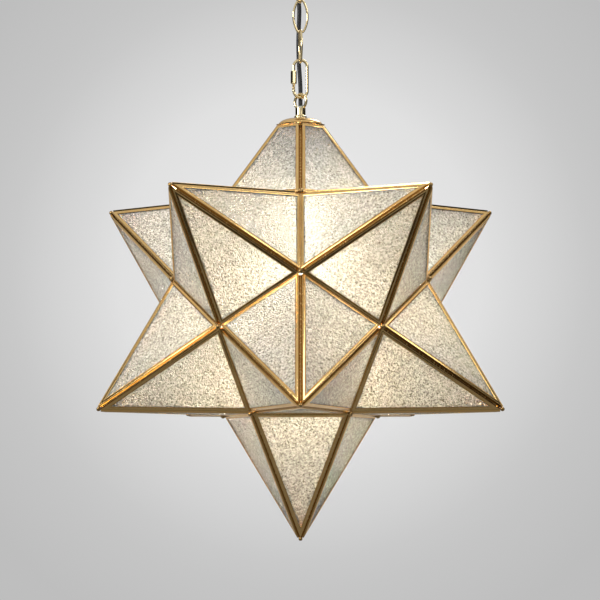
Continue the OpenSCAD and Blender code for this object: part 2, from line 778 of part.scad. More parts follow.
// Points of the cord's middle line, from the star's grommet to the canopy's
cord_route = [
    [0, 0, -192.1], [0, 0.3, -189.7], [0, 1.2, -187.5], [0, 2.7, -185.5], [0, 3.9, -184.5],
    [0, 5.1, -183.3], [0, 6.5, -181.1], [0, 7.3, -178.8], [0, 8.4, -173.5], [-0.3, 9.6, -165.5],
    [-0.9, 10.7, -156], [-1.6, 11.3, -146], [-2.0, 11.5, -136], [-2.2, 11.6, -124],
    [-1.9, 11.6, -112], [-1.4, 11.6, -100], [-1.2, 11.6, -89], [-1.9, 11.5, -80],
    [-2.8, 11.3, -73], [-3.6, 10.7, -66.7], [-4.1, 9.8, -60.7], [-4.2, 8.7, -56.4],
    [-3.7, 7.6, -53.2], [-3.1, 6.2, -50.9], [-2.4, 4.7, -49.2], [-1.4, 2.8, -47.3],
    [-0.6, 1.2, -45.2], [-0.1, 0.3, -42.9], [0, 0, -40.6]];
cord_sides = 10;
module power_cord() { color([0.06, 0.06, 0.07]) swept_tube(cord_route, cord_d / 2, cord_sides); }

// Tube round a line of points: a ring of vertices at each point, square to the line
function unit(v) = v / norm(v);
function route_direction(route, i) =
    i == 0 ? [0, 0, 1] : i == len(route) - 1 ? [0, 0, 1] : unit(route[i + 1] - route[i - 1]);
function ring_vertices(centre, direction, r, n) =
    let (across = unit(cross(direction, [0, 1, 0])), over = cross(across, direction))
    [for (j = [0 : n - 1])
        centre + r * (cos(360 * j / n) * across + sin(360 * j / n) * over)];
module swept_tube(route, r, n) {
    last = len(route) - 1;
    vertices = [for (i = [0 : last]) each ring_vertices(route[i], route_direction(route, i), r, n)];
    walls = [for (i = [0 : last - 1]) for (j = [0 : n - 1])
        let (a = i * n + j, b = i * n + (j + 1) % n)
        each [[a, b, b + n], [a, b + n, a + n]]];
    ends = [for (j = [1 : n - 2]) each
        [[0, j + 1, j], [last * n, last * n + j, last * n + j + 1]]];
    polyhedron(points = vertices, faces = concat(walls, ends), convexity = 6);
}

ceiling_bracket();
canopy();
canopy_nipple();
canopy_nut();
terminal_block();
canopy_loop();
canopy_grommet();
chain_link_3();
chain_link_2();
chain_link_1();
quick_link();
quick_link_nut();
power_cord();
star_grommet();
star_loop();
cap_dome();
cap_plate();
support_nipple();
support_nut();
holder_cap();
holder_skirt();
holder_shell();
bulb_glass();
bulb_base();
top_frames();
top_panes();
upper_frames(-36);  // upper_left_front_frames
upper_panes(-36);  // upper_left_front_panes
upper_frames(36);  // upper_right_front_frames
upper_panes(36);  // upper_right_front_panes
upper_frames(-108);  // upper_left_side_frames
upper_panes(-108);  // upper_left_side_panes
upper_frames(108);  // upper_right_side_frames
upper_panes(108);  // upper_right_side_panes
upper_frames(door_turn);  // door_frames
upper_panes(door_turn);  // door_panes
lower_frames(0);  // lower_front_frames
lower_panes(0);  // lower_front_panes
lower_frames(-72);  // lower_left_side_frames
lower_panes(-72);  // lower_left_side_panes
lower_frames(72);  // lower_right_side_frames
lower_panes(72);  // lower_right_side_panes
lower_frames(-144);  // lower_left_rear_frames
lower_panes(-144);  // lower_left_rear_panes
lower_frames(144);  // lower_right_rear_frames
lower_panes(144);  // lower_right_rear_panes
bottom_frames();
bottom_panes();
ridge_solder();
valley_solder();
corner_beads();
door_solder();
hinge_knuckles();
door_knuckle();
hinge_pin();
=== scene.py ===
"""Star chandelier: twelve points of textured glass in brass came under a short chain.

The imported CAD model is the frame. Each class below makes one sub-assembly's
surfaces with numpy, in metres in the frame's axes, and dresses them.
"""

import json
import logging
import math
from dataclasses import dataclass, field
from enum import Enum

import bpy
import numpy as np
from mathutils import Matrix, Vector

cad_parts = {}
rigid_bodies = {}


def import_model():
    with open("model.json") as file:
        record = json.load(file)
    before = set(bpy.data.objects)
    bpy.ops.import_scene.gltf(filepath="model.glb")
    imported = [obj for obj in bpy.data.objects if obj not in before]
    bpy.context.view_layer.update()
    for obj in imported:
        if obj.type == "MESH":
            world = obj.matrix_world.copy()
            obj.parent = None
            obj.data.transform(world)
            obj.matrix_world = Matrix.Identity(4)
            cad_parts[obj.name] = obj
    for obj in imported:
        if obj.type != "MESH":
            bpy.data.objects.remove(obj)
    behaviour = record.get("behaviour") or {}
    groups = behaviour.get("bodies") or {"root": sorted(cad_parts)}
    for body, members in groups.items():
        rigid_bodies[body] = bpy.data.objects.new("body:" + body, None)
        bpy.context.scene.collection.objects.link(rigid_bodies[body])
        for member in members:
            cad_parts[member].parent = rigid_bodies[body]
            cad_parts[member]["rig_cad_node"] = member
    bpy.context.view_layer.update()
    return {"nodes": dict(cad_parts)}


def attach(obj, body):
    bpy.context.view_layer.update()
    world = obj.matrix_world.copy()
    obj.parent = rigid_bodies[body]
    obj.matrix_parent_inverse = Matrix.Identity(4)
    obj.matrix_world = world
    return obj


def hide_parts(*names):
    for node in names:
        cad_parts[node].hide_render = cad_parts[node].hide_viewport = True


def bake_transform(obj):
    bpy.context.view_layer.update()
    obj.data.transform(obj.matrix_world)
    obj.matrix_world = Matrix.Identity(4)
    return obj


Array = np.ndarray
LOG = logging.getLogger("star_chandelier")
MM = 0.001
STAR = np.array([0.0, 0.0, -0.399993])
ALONG_Y = np.array([0, 1.0, 0])
GOLDEN = (1 + math.sqrt(5)) / 2
SIDES = 5
CIRCLE = 2 * math.pi
TURN = CIRCLE / SIDES
Colour = tuple[float, float, float]


# ---------------------------------------------------------------- geometry


def unit(v: Array) -> Array:
    """Vectors of length one: each divided by its own length."""
    return v / np.maximum(np.linalg.norm(v, axis=-1, keepdims=True), 1e-12)


def turn_z(angle: float) -> Array:
    """Rotation matrix about Z: (x cos - y sin, x sin + y cos, z)."""
    c, s = math.cos(angle), math.sin(angle)
    return np.array([[c, -s, 0], [s, c, 0], [0, 0, 1.0]])


def turn_y(angle: float) -> Array:
    """Rotation matrix about Y: (x cos + z sin, y, z cos - x sin)."""
    c, s = math.cos(angle), math.sin(angle)
    return np.array([[c, 0, s], [0, 1.0, 0], [-s, 0, c]])


def turn_x(angle: float) -> Array:
    """Rotation matrix about X: (x, y cos - z sin, y sin + z cos)."""
    c, s = math.cos(angle), math.sin(angle)
    return np.array([[1.0, 0, 0], [0, c, -s], [0, s, c]])


def grid_quads(rows: int, columns: int, wrap_rows: bool, wrap_columns: bool) -> Array:
    """Quads of a grid of points numbered row by row.

    Args:
        rows: number of rows of points.
        columns: number of points in a row.
        wrap_rows: the last row is joined to the first.
        wrap_columns: the last column is joined to the first.

    Returns:
        Four point numbers a quad.
    """
    i = np.arange(rows if wrap_rows else rows - 1)[:, None]
    j = np.arange(columns if wrap_columns else columns - 1)[None, :]
    i2, j2 = (i + 1) % rows, (j + 1) % columns
    quads = np.stack([i * columns + j, i * columns + j2, i2 * columns + j2, i2 * columns + j], -1)
    return quads.reshape(-1, 4)


def capped_grid(rows: int, columns: int) -> list[Array]:
    """Faces of a grid of rings, closed by one face over the first ring and one over the last."""
    ring = np.arange(columns)[None, :]
    return [grid_quads(rows, columns, False, True), ring[:, ::-1], (rows - 1) * columns + ring]


def angles(count: int) -> Array:
    """That many even angles round a circle, from 0."""
    return np.linspace(0, CIRCLE, count, endpoint=False)


def around(radius: Array, angle: Array, height: Array) -> Array:
    """Points (r cos t, r sin t, h) of a surface round the Z axis."""
    height = height + 0 * radius * angle
    return np.stack([radius * np.cos(angle), radius * np.sin(angle), height], -1)


@dataclass
class Shell:
    """A closed surface: points, faces grouped by their number of corners, and point values."""

    points: Array
    faces: list[Array]
    values: dict[str, Array] = field(default_factory=dict)

    def browned(self, amount: float) -> "Shell":
        """The shell with the same amount of brown all over."""
        return Shell(self.points, self.faces, {"patina_and_shade": np.full(len(self.points), amount)})

    def placed(self, matrix: Array, offset: Array) -> "Shell":
        """The shell with each point p moved to matrix p + offset."""
        return Shell(self.points @ matrix.T + offset, self.faces, self.values)


def joined(shells: list[Shell]) -> Shell:
    """One shell of several, each one's faces renumbered by the points before it."""
    starts = np.cumsum([0] + [len(s.points) for s in shells[:-1]])
    faces = [f + start for s, start in zip(shells, starts) for f in s.faces]
    names = shells[0].values.keys()
    values = {n: np.concatenate([s.values[n] for s in shells]) for n in names}
    return Shell(np.concatenate([s.points for s in shells]), faces, values)


def mesh_object(name: str, shell: Shell, sharp_deg: float = 35) -> bpy.types.Object:
    """Makes the shell a smooth-shaded mesh object at the origin.

    Args:
        name: the object's name.
        shell: points and faces, in metres in the row frame.
        sharp_deg: edges bent by more than this stay sharp.

    Returns:
        The linked object.
    """
    mesh = bpy.data.meshes.new(name)
    totals = np.concatenate([np.full(len(f), f.shape[1]) for f in shell.faces]).astype(np.int32)
    corners = np.concatenate([f.ravel() for f in shell.faces]).astype(np.int32)
    mesh.vertices.add(len(shell.points))
    mesh.vertices.foreach_set("co", shell.points.astype(np.float32).ravel())
    mesh.loops.add(len(corners))
    mesh.loops.foreach_set("vertex_index", corners)
    mesh.polygons.add(len(totals))
    mesh.polygons.foreach_set("loop_start", (np.cumsum(totals) - totals).astype(np.int32))
    mesh.polygons.foreach_set("use_smooth", np.ones(len(totals), bool))
    mesh.update(calc_edges=True)
    mesh.validate()
    for label, value in shell.values.items():
        layer = mesh.attributes.new(label, "FLOAT", "POINT")
        layer.data.foreach_set("value", value.astype(np.float32))
    mesh.set_sharp_from_angle(angle=math.radians(sharp_deg))
    return linked(name, mesh)


def linked(name: str, data: bpy.types.ID) -> bpy.types.Object:
    """A new object of that mesh, lamp or camera, linked to the scene."""
    made = bpy.data.objects.new(name, data)
    bpy.context.scene.collection.objects.link(made)
    return made


def lathe(profile: Array, sides: int, axis: Array, closed: bool = True) -> Shell:
    """A profile of (radius, height) turned once round a vertical axis.

    Point (i, j) is axis + (r_i cos t_j, r_i sin t_j, h_i). The profile runs so
    that the solid is on its left; an open profile is closed by a face at each end.
    """
    points = around(profile[:, 0, None], angles(sides), profile[:, 1, None]) + axis
    rows = len(profile)
    faces = [grid_quads(rows, sides, True, True)] if closed else capped_grid(rows, sides)
    return Shell(points.reshape(-1, 3), faces)


def rounded(corners: list[tuple[float, float]], radius: float, steps: int = 4) -> Array:
    """A closed line through corners, each cut by a quadratic curve.

    Each corner c becomes (1-t)^2 a + 2t(1-t) c + t^2 b, where a and b lie on its
    two sides at the given radius, or at 45% of a shorter side.
    """
    c = np.array(corners, float)
    before, after = np.roll(c, 1, 0) - c, np.roll(c, -1, 0) - c
    a, b = (c + unit(s) * np.minimum(radius, 0.45 * np.linalg.norm(s, axis=1, keepdims=True))
            for s in (before, after))
    t = np.linspace(0, 1, steps + 1)[None, :, None]
    curve = (1 - t) ** 2 * a[:, None] + 2 * t * (1 - t) * c[:, None] + t ** 2 * b[:, None]
    return curve.reshape(-1, 2)


def tube(path: Array, radius: Array, sides: int, hint: Array, closed: bool) -> Shell:
    """A round wire along a path.

    Ring i is path_i + r_ij (cos t_j across + sin t_j over), where across is the
    path's direction crossed with the hint and over completes the frame.

    Args:
        path: points along the middle line.
        radius: one radius a point, or one for each point and side.
        sides: number of sides.
        hint: a vector that the path never follows.
        closed: the path's last point is joined to its first.
    """
    ahead = np.roll(path, -1, 0) - np.roll(path, 1, 0)
    if not closed:
        ahead[0], ahead[-1] = path[1] - path[0], path[-1] - path[-2]
    ahead = unit(ahead)
    across = unit(np.cross(ahead, hint))
    over = np.cross(across, ahead)
    t = angles(sides)
    r = radius[:, None] if radius.ndim == 1 else radius
    ring = np.cos(t)[None, :, None] * across[:, None] + np.sin(t)[None, :, None] * over[:, None]
    points = path[:, None] + r[..., None] * ring
    rows = len(path)
    faces = [grid_quads(rows, sides, True, True)] if closed else capped_grid(rows, sides)
    return Shell(points.reshape(-1, 3), [f[:, ::-1] for f in faces])


def smooth_line(route: Array, step: float) -> Array:
    """Even points on a Catmull-Rom curve through a route.

    Between p1 and p2 the curve is half of 2 p1 + (p2 - p0) t + (2 p0 - 5 p1 +
    4 p2 - p3) t^2 + (3 p1 - p0 - 3 p2 + p3) t^3, then it is spaced by length.
    """
    full = np.concatenate([[2 * route[0] - route[1]], route, [2 * route[-1] - route[-2]]])
    t = np.linspace(0, 1, 12, endpoint=False)[None, :, None]
    p0, p1, p2, p3 = (p[:, None] for p in (full[:-3], full[1:-2], full[2:-1], full[3:]))
    dense = 0.5 * (2 * p1 + (p2 - p0) * t + (2 * p0 - 5 * p1 + 4 * p2 - p3) * t ** 2
                   + (3 * p1 - p0 - 3 * p2 + p3) * t ** 3)
    dense = np.concatenate([dense.reshape(-1, 3), [route[-1]]])
    length = np.concatenate([[0], np.cumsum(np.linalg.norm(np.diff(dense, axis=0), axis=1))])
    count = max(2, int(round(length[-1] / step)) + 1)
    at = np.linspace(0, length[-1], count)
    return np.stack([np.interp(at, length, dense[:, k]) for k in range(3)], -1)


# ------------------------------------------------------------------ relief


class Relief:
    """Heights of pressed glass: shallow dimples over finer pebbling."""

    def __init__(self, seed: int) -> None:
        """Draws the lattice of random numbers from the seed."""
        self.table = np.random.default_rng(seed).random((3, 128, 128))

    def dimples(self, x: Array, y: Array, cell: float) -> Array:
        """Squared distance to the nearest of one random point a cell, at most 1."""
        gx, gy = np.floor(x / cell), np.floor(y / cell)
        nearest = np.ones_like(x)
        for dx in (-1, 0, 1):
            for dy in (-1, 0, 1):
                i, j = (gx + dx).astype(int) % 128, (gy + dy).astype(int) % 128
                px = (gx + dx + self.table[0, i, j]) * cell
                py = (gy + dy + self.table[1, i, j]) * cell
                nearest = np.minimum(nearest, ((x - px) ** 2 + (y - py) ** 2) / cell ** 2)
        return nearest

    def pebbles(self, x: Array, y: Array, cell: float) -> Array:
        """Smooth noise: lattice numbers mixed with the weight 3 t^2 - 2 t^3."""
        gx, gy = np.floor(x / cell), np.floor(y / cell)
        tx, ty = x / cell - gx, y / cell - gy
        tx, ty = tx * tx * (3 - 2 * tx), ty * ty * (3 - 2 * ty)
        i, j = gx.astype(int) % 128, gy.astype(int) % 128
        i2, j2, n = (i + 1) % 128, (j + 1) % 128, self.table[2]
        low = n[i, j] * (1 - tx) + n[i2, j] * tx
        high = n[i, j2] * (1 - tx) + n[i2, j2] * tx
        return low * (1 - ty) + high * ty


# ---------------------------------------------------------------- finishes


def material(name: str) -> tuple[bpy.types.Material, bpy.types.NodeTree, bpy.types.Node]:
    """A new node material with its node tree and Principled shader."""
    made = bpy.data.materials.new(name)
    made.use_nodes = True
    return made, made.node_tree, made.node_tree.nodes["Principled BSDF"]


def feed(tree: bpy.types.NodeTree, node: bpy.types.Node, **inputs: object) -> None:
    """Sets a node's inputs to values, or links sockets to them.

    An input goes by its name with _ for a space, or by _ and its number.
    """
    for key, value in inputs.items():
        socket = node.inputs[int(key[1:])] if key[0] == "_" else node.inputs[key.replace("_", " ")]
        if isinstance(value, bpy.types.NodeSocket):
            tree.links.new(value, socket)
        else:
            socket.default_value = value


def add(tree: bpy.types.NodeTree, kind: str, mode: str | None = None,
        **inputs: object) -> bpy.types.Node:
    """A node of that kind, fed with inputs.

    Args:
        tree: the material's or the world's nodes.
        kind: the node's type.
        mode: its operation, or a mix node's data type.
        inputs: as for feed.
    """
    node = tree.nodes.new(kind)
    if mode is not None:
        setattr(node, "data_type" if kind == "ShaderNodeMix" else "operation", mode)
    feed(tree, node, **inputs)
    return node


def span(tree: bpy.types.NodeTree, value: bpy.types.NodeSocket, low: float, high: float,
         start: float = 0.0, end: float = 1.0) -> bpy.types.NodeSocket:
    """The value carried from start and end to low and high, and no further."""
    node = add(tree, "ShaderNodeMapRange", Value=value, From_Min=start, From_Max=end,
               To_Min=low, To_Max=high)
    return node.outputs[0]


def noise(tree: bpy.types.NodeTree, scale: float, detail: float = 3,
          stretch: tuple[float, float, float] | None = None) -> bpy.types.NodeSocket:
    """Noise of that many cells a metre on Object coordinates, squeezed by a given stretch."""
    where = add(tree, "ShaderNodeTexCoord").outputs["Object"]
    if stretch is not None:
        where = add(tree, "ShaderNodeMapping", Vector=where, Scale=stretch).outputs[0]
    return add(tree, "ShaderNodeTexNoise", Vector=where, Scale=scale, Detail=detail).outputs["Fac"]


def ramp(tree: bpy.types.NodeTree, fac: bpy.types.NodeSocket,
         stops: list[tuple[float, Colour]]) -> bpy.types.NodeSocket:
    """A colour ramp with those stops of (place, colour)."""
    node = add(tree, "ShaderNodeValToRGB", Fac=fac)
    bar = node.color_ramp.elements
    while len(bar) < len(stops):
        bar.new(0.5)
    for element, (place, colour) in zip(bar, stops):
        element.position, element.color = place, (*colour, 1)
    return node.outputs["Color"]


def mixed(tree: bpy.types.NodeTree, factor: bpy.types.NodeSocket, first: object,
          second: object) -> bpy.types.NodeSocket:
    """The first colour at factor 0 and the second at 1."""
    return add(tree, "ShaderNodeMix", "RGBA", _0=factor, _6=first, _7=second).outputs[2]


def grey(value: float) -> Colour:
    """A grey colour."""
    return (value, value, value)


@dataclass(frozen=True)
class BrassFinish:
    """Lacquered brass: fine drawing marks, handling haze, and a brown in recesses that is partly
    patina and partly painted shade.
    """

    name: str
    bright: Colour
    deep: Colour
    brown: Colour
    smooth: float
    hazy: float
    patina_and_shade: bool = False

    def make(self) -> bpy.types.Material:
        """The finish as a material; the brown of patina and painted shade follows the piece's own
        attribute.
        """
        made, tree, shader = material(self.name)
        colour = ramp(tree, noise(tree, 55, 4), [(0.3, self.deep), (0.7, self.bright)])
        # painted shade and patina: the piece's attribute mixes brown into the colour, most in its
        # recesses
        if self.patina_and_shade:
            browned = add(tree, "ShaderNodeAttribute")
            browned.attribute_name = "patina_and_shade"
            mottle = span(tree, noise(tree, 420, 2), 0.85, 1.05)
            amount = add(tree, "ShaderNodeMath", "MULTIPLY", _0=browned.outputs["Fac"], _1=mottle)
            amount.use_clamp = True
            colour = mixed(tree, amount.outputs[0], colour, (*self.brown, 1))
        marks = noise(tree, 900, 2, (1, 1, 0.12))
        rough = span(tree, marks, self.smooth, self.hazy, 0.3, 0.7)
        bump = add(tree, "ShaderNodeBump", Strength=0.01, Distance=0.0001, Height=marks)
        feed(tree, shader, Base_Color=colour, Roughness=rough, Normal=bump.outputs[0],
             Metallic=1.0, Coat_Weight=0.10, Coat_Roughness=0.12)
        return made


@dataclass(frozen=True)
class GlassFinish:
    """Pressed glass with a fine crackle, clear in places and milky in others."""

    name: str = "textured_glass"
    tint: Colour = (0.960, 0.990, 0.940)
    speck: Colour = (0.30, 0.29, 0.22)
    clear: tuple[float, float] = (0.60, 0.80)
    depth: float = 0.002

    def make(self) -> bpy.types.Material:
        """The finish as a material: pebbles bend the light, and their steep rims carry painted
        shade, dark specks for the dark that they refract.
        """
        made, tree, shader = material(self.name)
        where = add(tree, "ShaderNodeTexCoord").outputs["Object"]
        cells = add(tree, "ShaderNodeTexVoronoi", Vector=where, Scale=620.0).outputs["Distance"]
        fine = noise(tree, 950, 3)
        share = span(tree, noise(tree, 420, 3), *self.clear, 0.38, 0.62)
        height = add(tree, "ShaderNodeMath", "MULTIPLY", _0=cells, _1=fine).outputs[0]
        bump = add(tree, "ShaderNodeBump", Strength=1.0, Distance=0.0016, Height=height)
        # painted shade: the speck colour darkens the high rims of the pebbles
        tone = ramp(tree, height, [(0.0, self.tint), (0.33, self.tint), (0.44, self.speck)])
        feed(tree, shader, Base_Color=tone, Roughness=span(tree, fine, 0.04, 0.22),
             Normal=bump.outputs[0], Transmission_Weight=share, IOR=1.45, Subsurface_Weight=1.0,
             Subsurface_Radius=(1.0, 1.0, 1.0), Subsurface_Scale=self.depth)
        return made


@dataclass(frozen=True)
class PlainFinish:
    """A finish of one colour with mottling, gloss and a grain of its own."""

    name: str
    colour: Colour
    shade: Colour
    smooth: float
    hazy: float
    grain: float
    grain_depth: float
    metallic: float = 0.0
    coat: float = 0.0
    subsurface: float = 0.0
    glow: float = 0.0
    glow_colour: Colour = (1, 1, 1)
    depth: float = 0.002

    def make(self) -> bpy.types.Material:
        """The finish as a material."""
        made, tree, shader = material(self.name)
        grain = noise(tree, self.grain, 3)
        tone = ramp(tree, noise(tree, self.grain / 8, 3), [(0.3, self.shade), (0.7, self.colour)])
        bump = add(tree, "ShaderNodeBump", Strength=0.4, Distance=self.grain_depth, Height=grain)
        feed(tree, shader, Base_Color=tone, Roughness=span(tree, grain, self.smooth, self.hazy),
             Normal=bump.outputs[0], Metallic=self.metallic, Coat_Weight=self.coat)
        if self.subsurface:
            feed(tree, shader, Subsurface_Weight=self.subsurface, Subsurface_Scale=self.depth)
        if self.glow:
            feed(tree, shader, Emission_Color=(*self.glow_colour, 1), Emission_Strength=self.glow)
        return made


class Finish(Enum):
    """The finishes of the record's material slots."""

    CAME_BRASS = BrassFinish("came_brass", (0.84, 0.56, 0.23), (0.77, 0.50, 0.19),
                             (0.54, 0.34, 0.12), 0.15, 0.20, True)
    POLISHED_BRASS = BrassFinish("polished_brass", (0.90, 0.74, 0.43), (0.84, 0.66, 0.35),
                                 (0.3, 0.2, 0.08), 0.05, 0.12)
    SOLDER = BrassFinish("solder", (0.80, 0.56, 0.26), (0.62, 0.40, 0.15),
                         (0.34, 0.20, 0.06), 0.14, 0.3, True)
    TEXTURED_GLASS = GlassFinish()
    CORD_BLACK = PlainFinish("cord_black", (0.022, 0.022, 0.025), (0.010, 0.010, 0.012),
                             0.42, 0.62, 2600, 0.0001)
    GROMMET_PLASTIC = PlainFinish("grommet_plastic", (0.66, 0.66, 0.63), (0.56, 0.56, 0.53),
                                  0.35, 0.5, 900, 0.00005, subsurface=0.4)
    PORCELAIN = PlainFinish("porcelain", (0.86, 0.85, 0.80), (0.80, 0.78, 0.73),
                            0.10, 0.2, 160, 0.0001, coat=0.6)
    LAMP_GLASS = PlainFinish("lamp_glass", (0.95, 0.90, 0.80), (0.92, 0.86, 0.74),
                             0.35, 0.5, 600, 0.00003, glow=80.0, glow_colour=(1.0, 0.90, 0.76))
    LAMP_BASE = PlainFinish("lamp_base", (0.74, 0.74, 0.73), (0.60, 0.60, 0.59),
                            0.25, 0.4, 700, 0.00005, metallic=1.0)
    BRACKET_STEEL = PlainFinish("bracket_steel", (0.66, 0.67, 0.66), (0.50, 0.50, 0.47),
                                0.3, 0.5, 300, 0.00005, metallic=1.0)
    TERMINAL_PLASTIC = PlainFinish("terminal_plastic", (0.84, 0.84, 0.80), (0.78, 0.78, 0.74),
                                   0.35, 0.5, 900, 0.00005)

    @property
    def slot(self) -> str:
        """The record's material slot."""
        return self.value.name


MADE: dict[Finish, bpy.types.Material] = {}


def dress(piece: bpy.types.Object, finish: Finish) -> None:
    """Gives a piece its finish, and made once."""
    if finish not in MADE:
        MADE[finish] = finish.value.make()
    piece.data.materials.clear()
    piece.data.materials.append(MADE[finish])
    piece.data.polygons.foreach_set("material_index", np.zeros(len(piece.data.polygons), np.int32))


def mount(name: str, shell: Shell, finish: Finish, body: str, node: str,
          sharp_deg: float = 35) -> bpy.types.Object:
    """Makes a piece of that shell and finish that rides on the body and stands for the node."""
    piece = mesh_object(name, shell, sharp_deg)
    dress(piece, finish)
    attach(piece, body)
    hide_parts(node)
    LOG.info("%s: %d faces", piece.name, len(piece.data.polygons))
    return piece


# -------------------------------------------------------------------- star


@dataclass(frozen=True)
class Point:
    """One point of the star: its name, where it leans and how its panes are turned."""

    name: str
    tilt: float
    azimuth: float
    phase: float
    height: float
    cut: float | None = None

    @property
    def body(self) -> str:
        """The body that the point rides on."""
        return "door" if self.name == "door" else "star"

    def matrix(self) -> Array:
        """Turns +Z to the point's own direction."""
        return turn_z(math.radians(self.azimuth - 90)) @ turn_y(self.tilt)


@dataclass
class Star:
    """The star's shape: pentagonal points on a dodecahedron."""

    edge: float = 98.6 * MM
    point_height: float = 131.5 * MM
    collar_height: float = 77.2 * MM
    collar_radius: float = 26.8 * MM
    came_thickness: float = 4.1 * MM
    came_width: float = 3.5 * MM
    came_web: float = 0.5 * MM
    glass_thickness: float = 3.0 * MM
    glazing_gap: float = 0.3 * MM
    came_gap: float = 0.04 * MM
    corner_r: float = 0.42 * MM
    inner_r: float = 0.3 * MM
    crown: float = 0.42 * MM
    pane_rows: int = 104
    relief_depth: float = 0.34 * MM
    dimple: float = 3.3 * MM
    pebble: float = 1.9 * MM

    def __post_init__(self) -> None:
        """Works out the dodecahedron and lists the twelve points."""
        half = TURN / 2
        self.apothem = self.edge / (2 * math.tan(half))
        self.base_r = self.edge / (2 * math.sin(half))
        self.core = self.edge * GOLDEN ** 2 / (2 * math.sqrt(3 - GOLDEN))
        self.face_tilt = math.acos(1 / math.sqrt(5))
        inset = self.apothem - self.collar_radius * math.cos(half)
        self.top_full = self.collar_height * self.apothem / inset
        top_cut = math.hypot(self.top_full, self.apothem) * self.collar_height / self.top_full
        h, up, down = self.point_height, self.face_tilt, math.pi - self.face_tilt
        self.top = Point("top", 0, 0, half, self.top_full, top_cut)
        self.bottom = Point("bottom", math.pi, 0, half, h)
        self.uppers = [Point(n, up, a, half, h) for n, a in (
            ("upper_left_front", -36), ("upper_right_front", 36), ("upper_left_side", -108),
            ("upper_right_side", 108), ("door", 180))]
        self.lowers = [Point(n, down, a, 0, h) for n, a in (
            ("lower_front", 0), ("lower_left_side", -72), ("lower_right_side", 72),
            ("lower_left_rear", -144), ("lower_right_rear", 144))]
        self.points = [self.top, *self.uppers, *self.lowers, self.bottom]

    def slant(self, height: float) -> float:
        """Height of a pane of a point of that height, in the pane's plane."""
        return math.hypot(height, self.apothem)

    def apex(self, height: float) -> float:
        """Half the angle at a pane's tip."""
        return math.atan2(self.edge / 2, self.slant(height))

    def cup(self, height: float) -> float:
        """Distance along a pane from a point's full tip to the tip of its came."""
        return self.set_back(height) / math.sin(self.apex(height))

    def ridge_half(self, height: float) -> float:
        """Half the angle between two neighbouring panes' normals."""
        c = (height ** 2 * math.cos(TURN) + self.apothem ** 2) / (height ** 2 + self.apothem ** 2)
        return math.acos(c) / 2

    def set_back(self, height: float) -> float:
        """Distance of a came's edge from the ridge, in its pane's plane."""
        return self.came_thickness * math.tan(self.ridge_half(height)) + self.came_gap / 2

    def outline(self, point: Point, margin: Array) -> Array:
        """Corners of a pane's outline, drawn in by each margin, in the pane's plane.

        The slanted sides are lines |x| = (slant - y) tan a - (set back + margin) / cos a.
        """
        slant, a = self.slant(point.height), self.apex(point.height)
        back = self.set_back(point.height) + margin
        low = self.came_gap / 2 + margin

        def corner(side: int, y: Array) -> Array:
            """The corner at height y, on the left for side -1 and on the right for 1."""
            return np.stack([side * ((slant - y) * math.tan(a) - back / math.cos(a)), y], -1)

        if point.cut is None:
            tip = slant - back / math.sin(a)
            return np.stack([corner(-1, low), corner(1, low), np.stack([0 * tip, tip], -1)], -2)
        high = point.cut - margin
        return np.stack([corner(-1, low), corner(1, low), corner(1, high), corner(-1, high)], -2)

    def on_side(self, point: Point, k: int) -> tuple[Array, Array]:
        """Matrix and offset that put a flat pane on side k of a point, in the row frame."""
        whole = point.matrix() @ turn_z(point.phase + TURN * k)
        slope = math.atan2(point.height, self.apothem)
        flat = whole @ turn_z(math.pi / 2) @ turn_x(slope)
        return flat, whole @ np.array([self.apothem, 0, self.core]) + STAR

    def came_section(self) -> tuple[Array, Array, Array]:
        """Section of the U-shaped came, as (distance inwards, height, brown of patina and painted
        shade).

        The lips are crowned by 1 - (2 s - 1)^2 and have round noses; the back is
        rounded by quarter circles, widely at the outer face and tightly inside.
        """
        w, t, r, inner_r = self.came_width, self.came_thickness, self.corner_r, self.inner_r
        lip = (t - self.glass_thickness) / 2
        nose = np.linspace(-math.pi / 2, math.pi / 2, 5)
        s = np.linspace(0, 1, 7)[1:-1]
        quarter = np.linspace(0, math.pi / 2, 5)
        flat_from = w - lip / 2
        a = [flat_from + lip / 2 * np.cos(nose), flat_from + (r - flat_from) * s,
             r - r * np.sin(quarter), inner_r - inner_r * np.cos(quarter),
             inner_r + (flat_from - inner_r) * s, flat_from + lip / 2 * np.cos(nose),
             np.array([self.came_web, self.came_web])]
        h = [-lip / 2 + lip / 2 * np.sin(nose) - self.crown * (nose > 0.1),
             -self.crown * (2 * s - 1) ** 2,
             -r + r * np.cos(quarter) - self.crown * np.cos(quarter) ** 2,
             -t + inner_r - inner_r * np.sin(quarter), -t + 0 * s,
             -t + lip / 2 + lip / 2 * np.sin(nose), np.array([lip - t, -lip])]
        # painted shade and patina: brown rises towards the groove at the ridge, over the inner face
        # and at the lip noses by the glass
        browned = [np.array([0.55, 0.3, 0.08, 0, 0]), 0 * s, np.array([0, 0.05, 0.3, 0.75, 1.0]),
                np.ones(5), 0.8 + 0 * s, np.full(5, 0.7), np.ones(2)]
        return np.concatenate(a), np.concatenate(h), np.concatenate(browned)

    def came(self, point: Point) -> Shell:
        """One came frame: the section carried round the outline, mitred at its corners."""
        a, h, browned = self.came_section()
        corners = self.outline(point, a)
        n = corners.shape[1]
        points = np.concatenate([corners, np.broadcast_to(h[:, None, None], (len(h), n, 1))], -1)
        return Shell(points.reshape(-1, 3), [grid_quads(len(a), n, True, True)],
                     {"patina_and_shade": np.repeat(browned, n)})

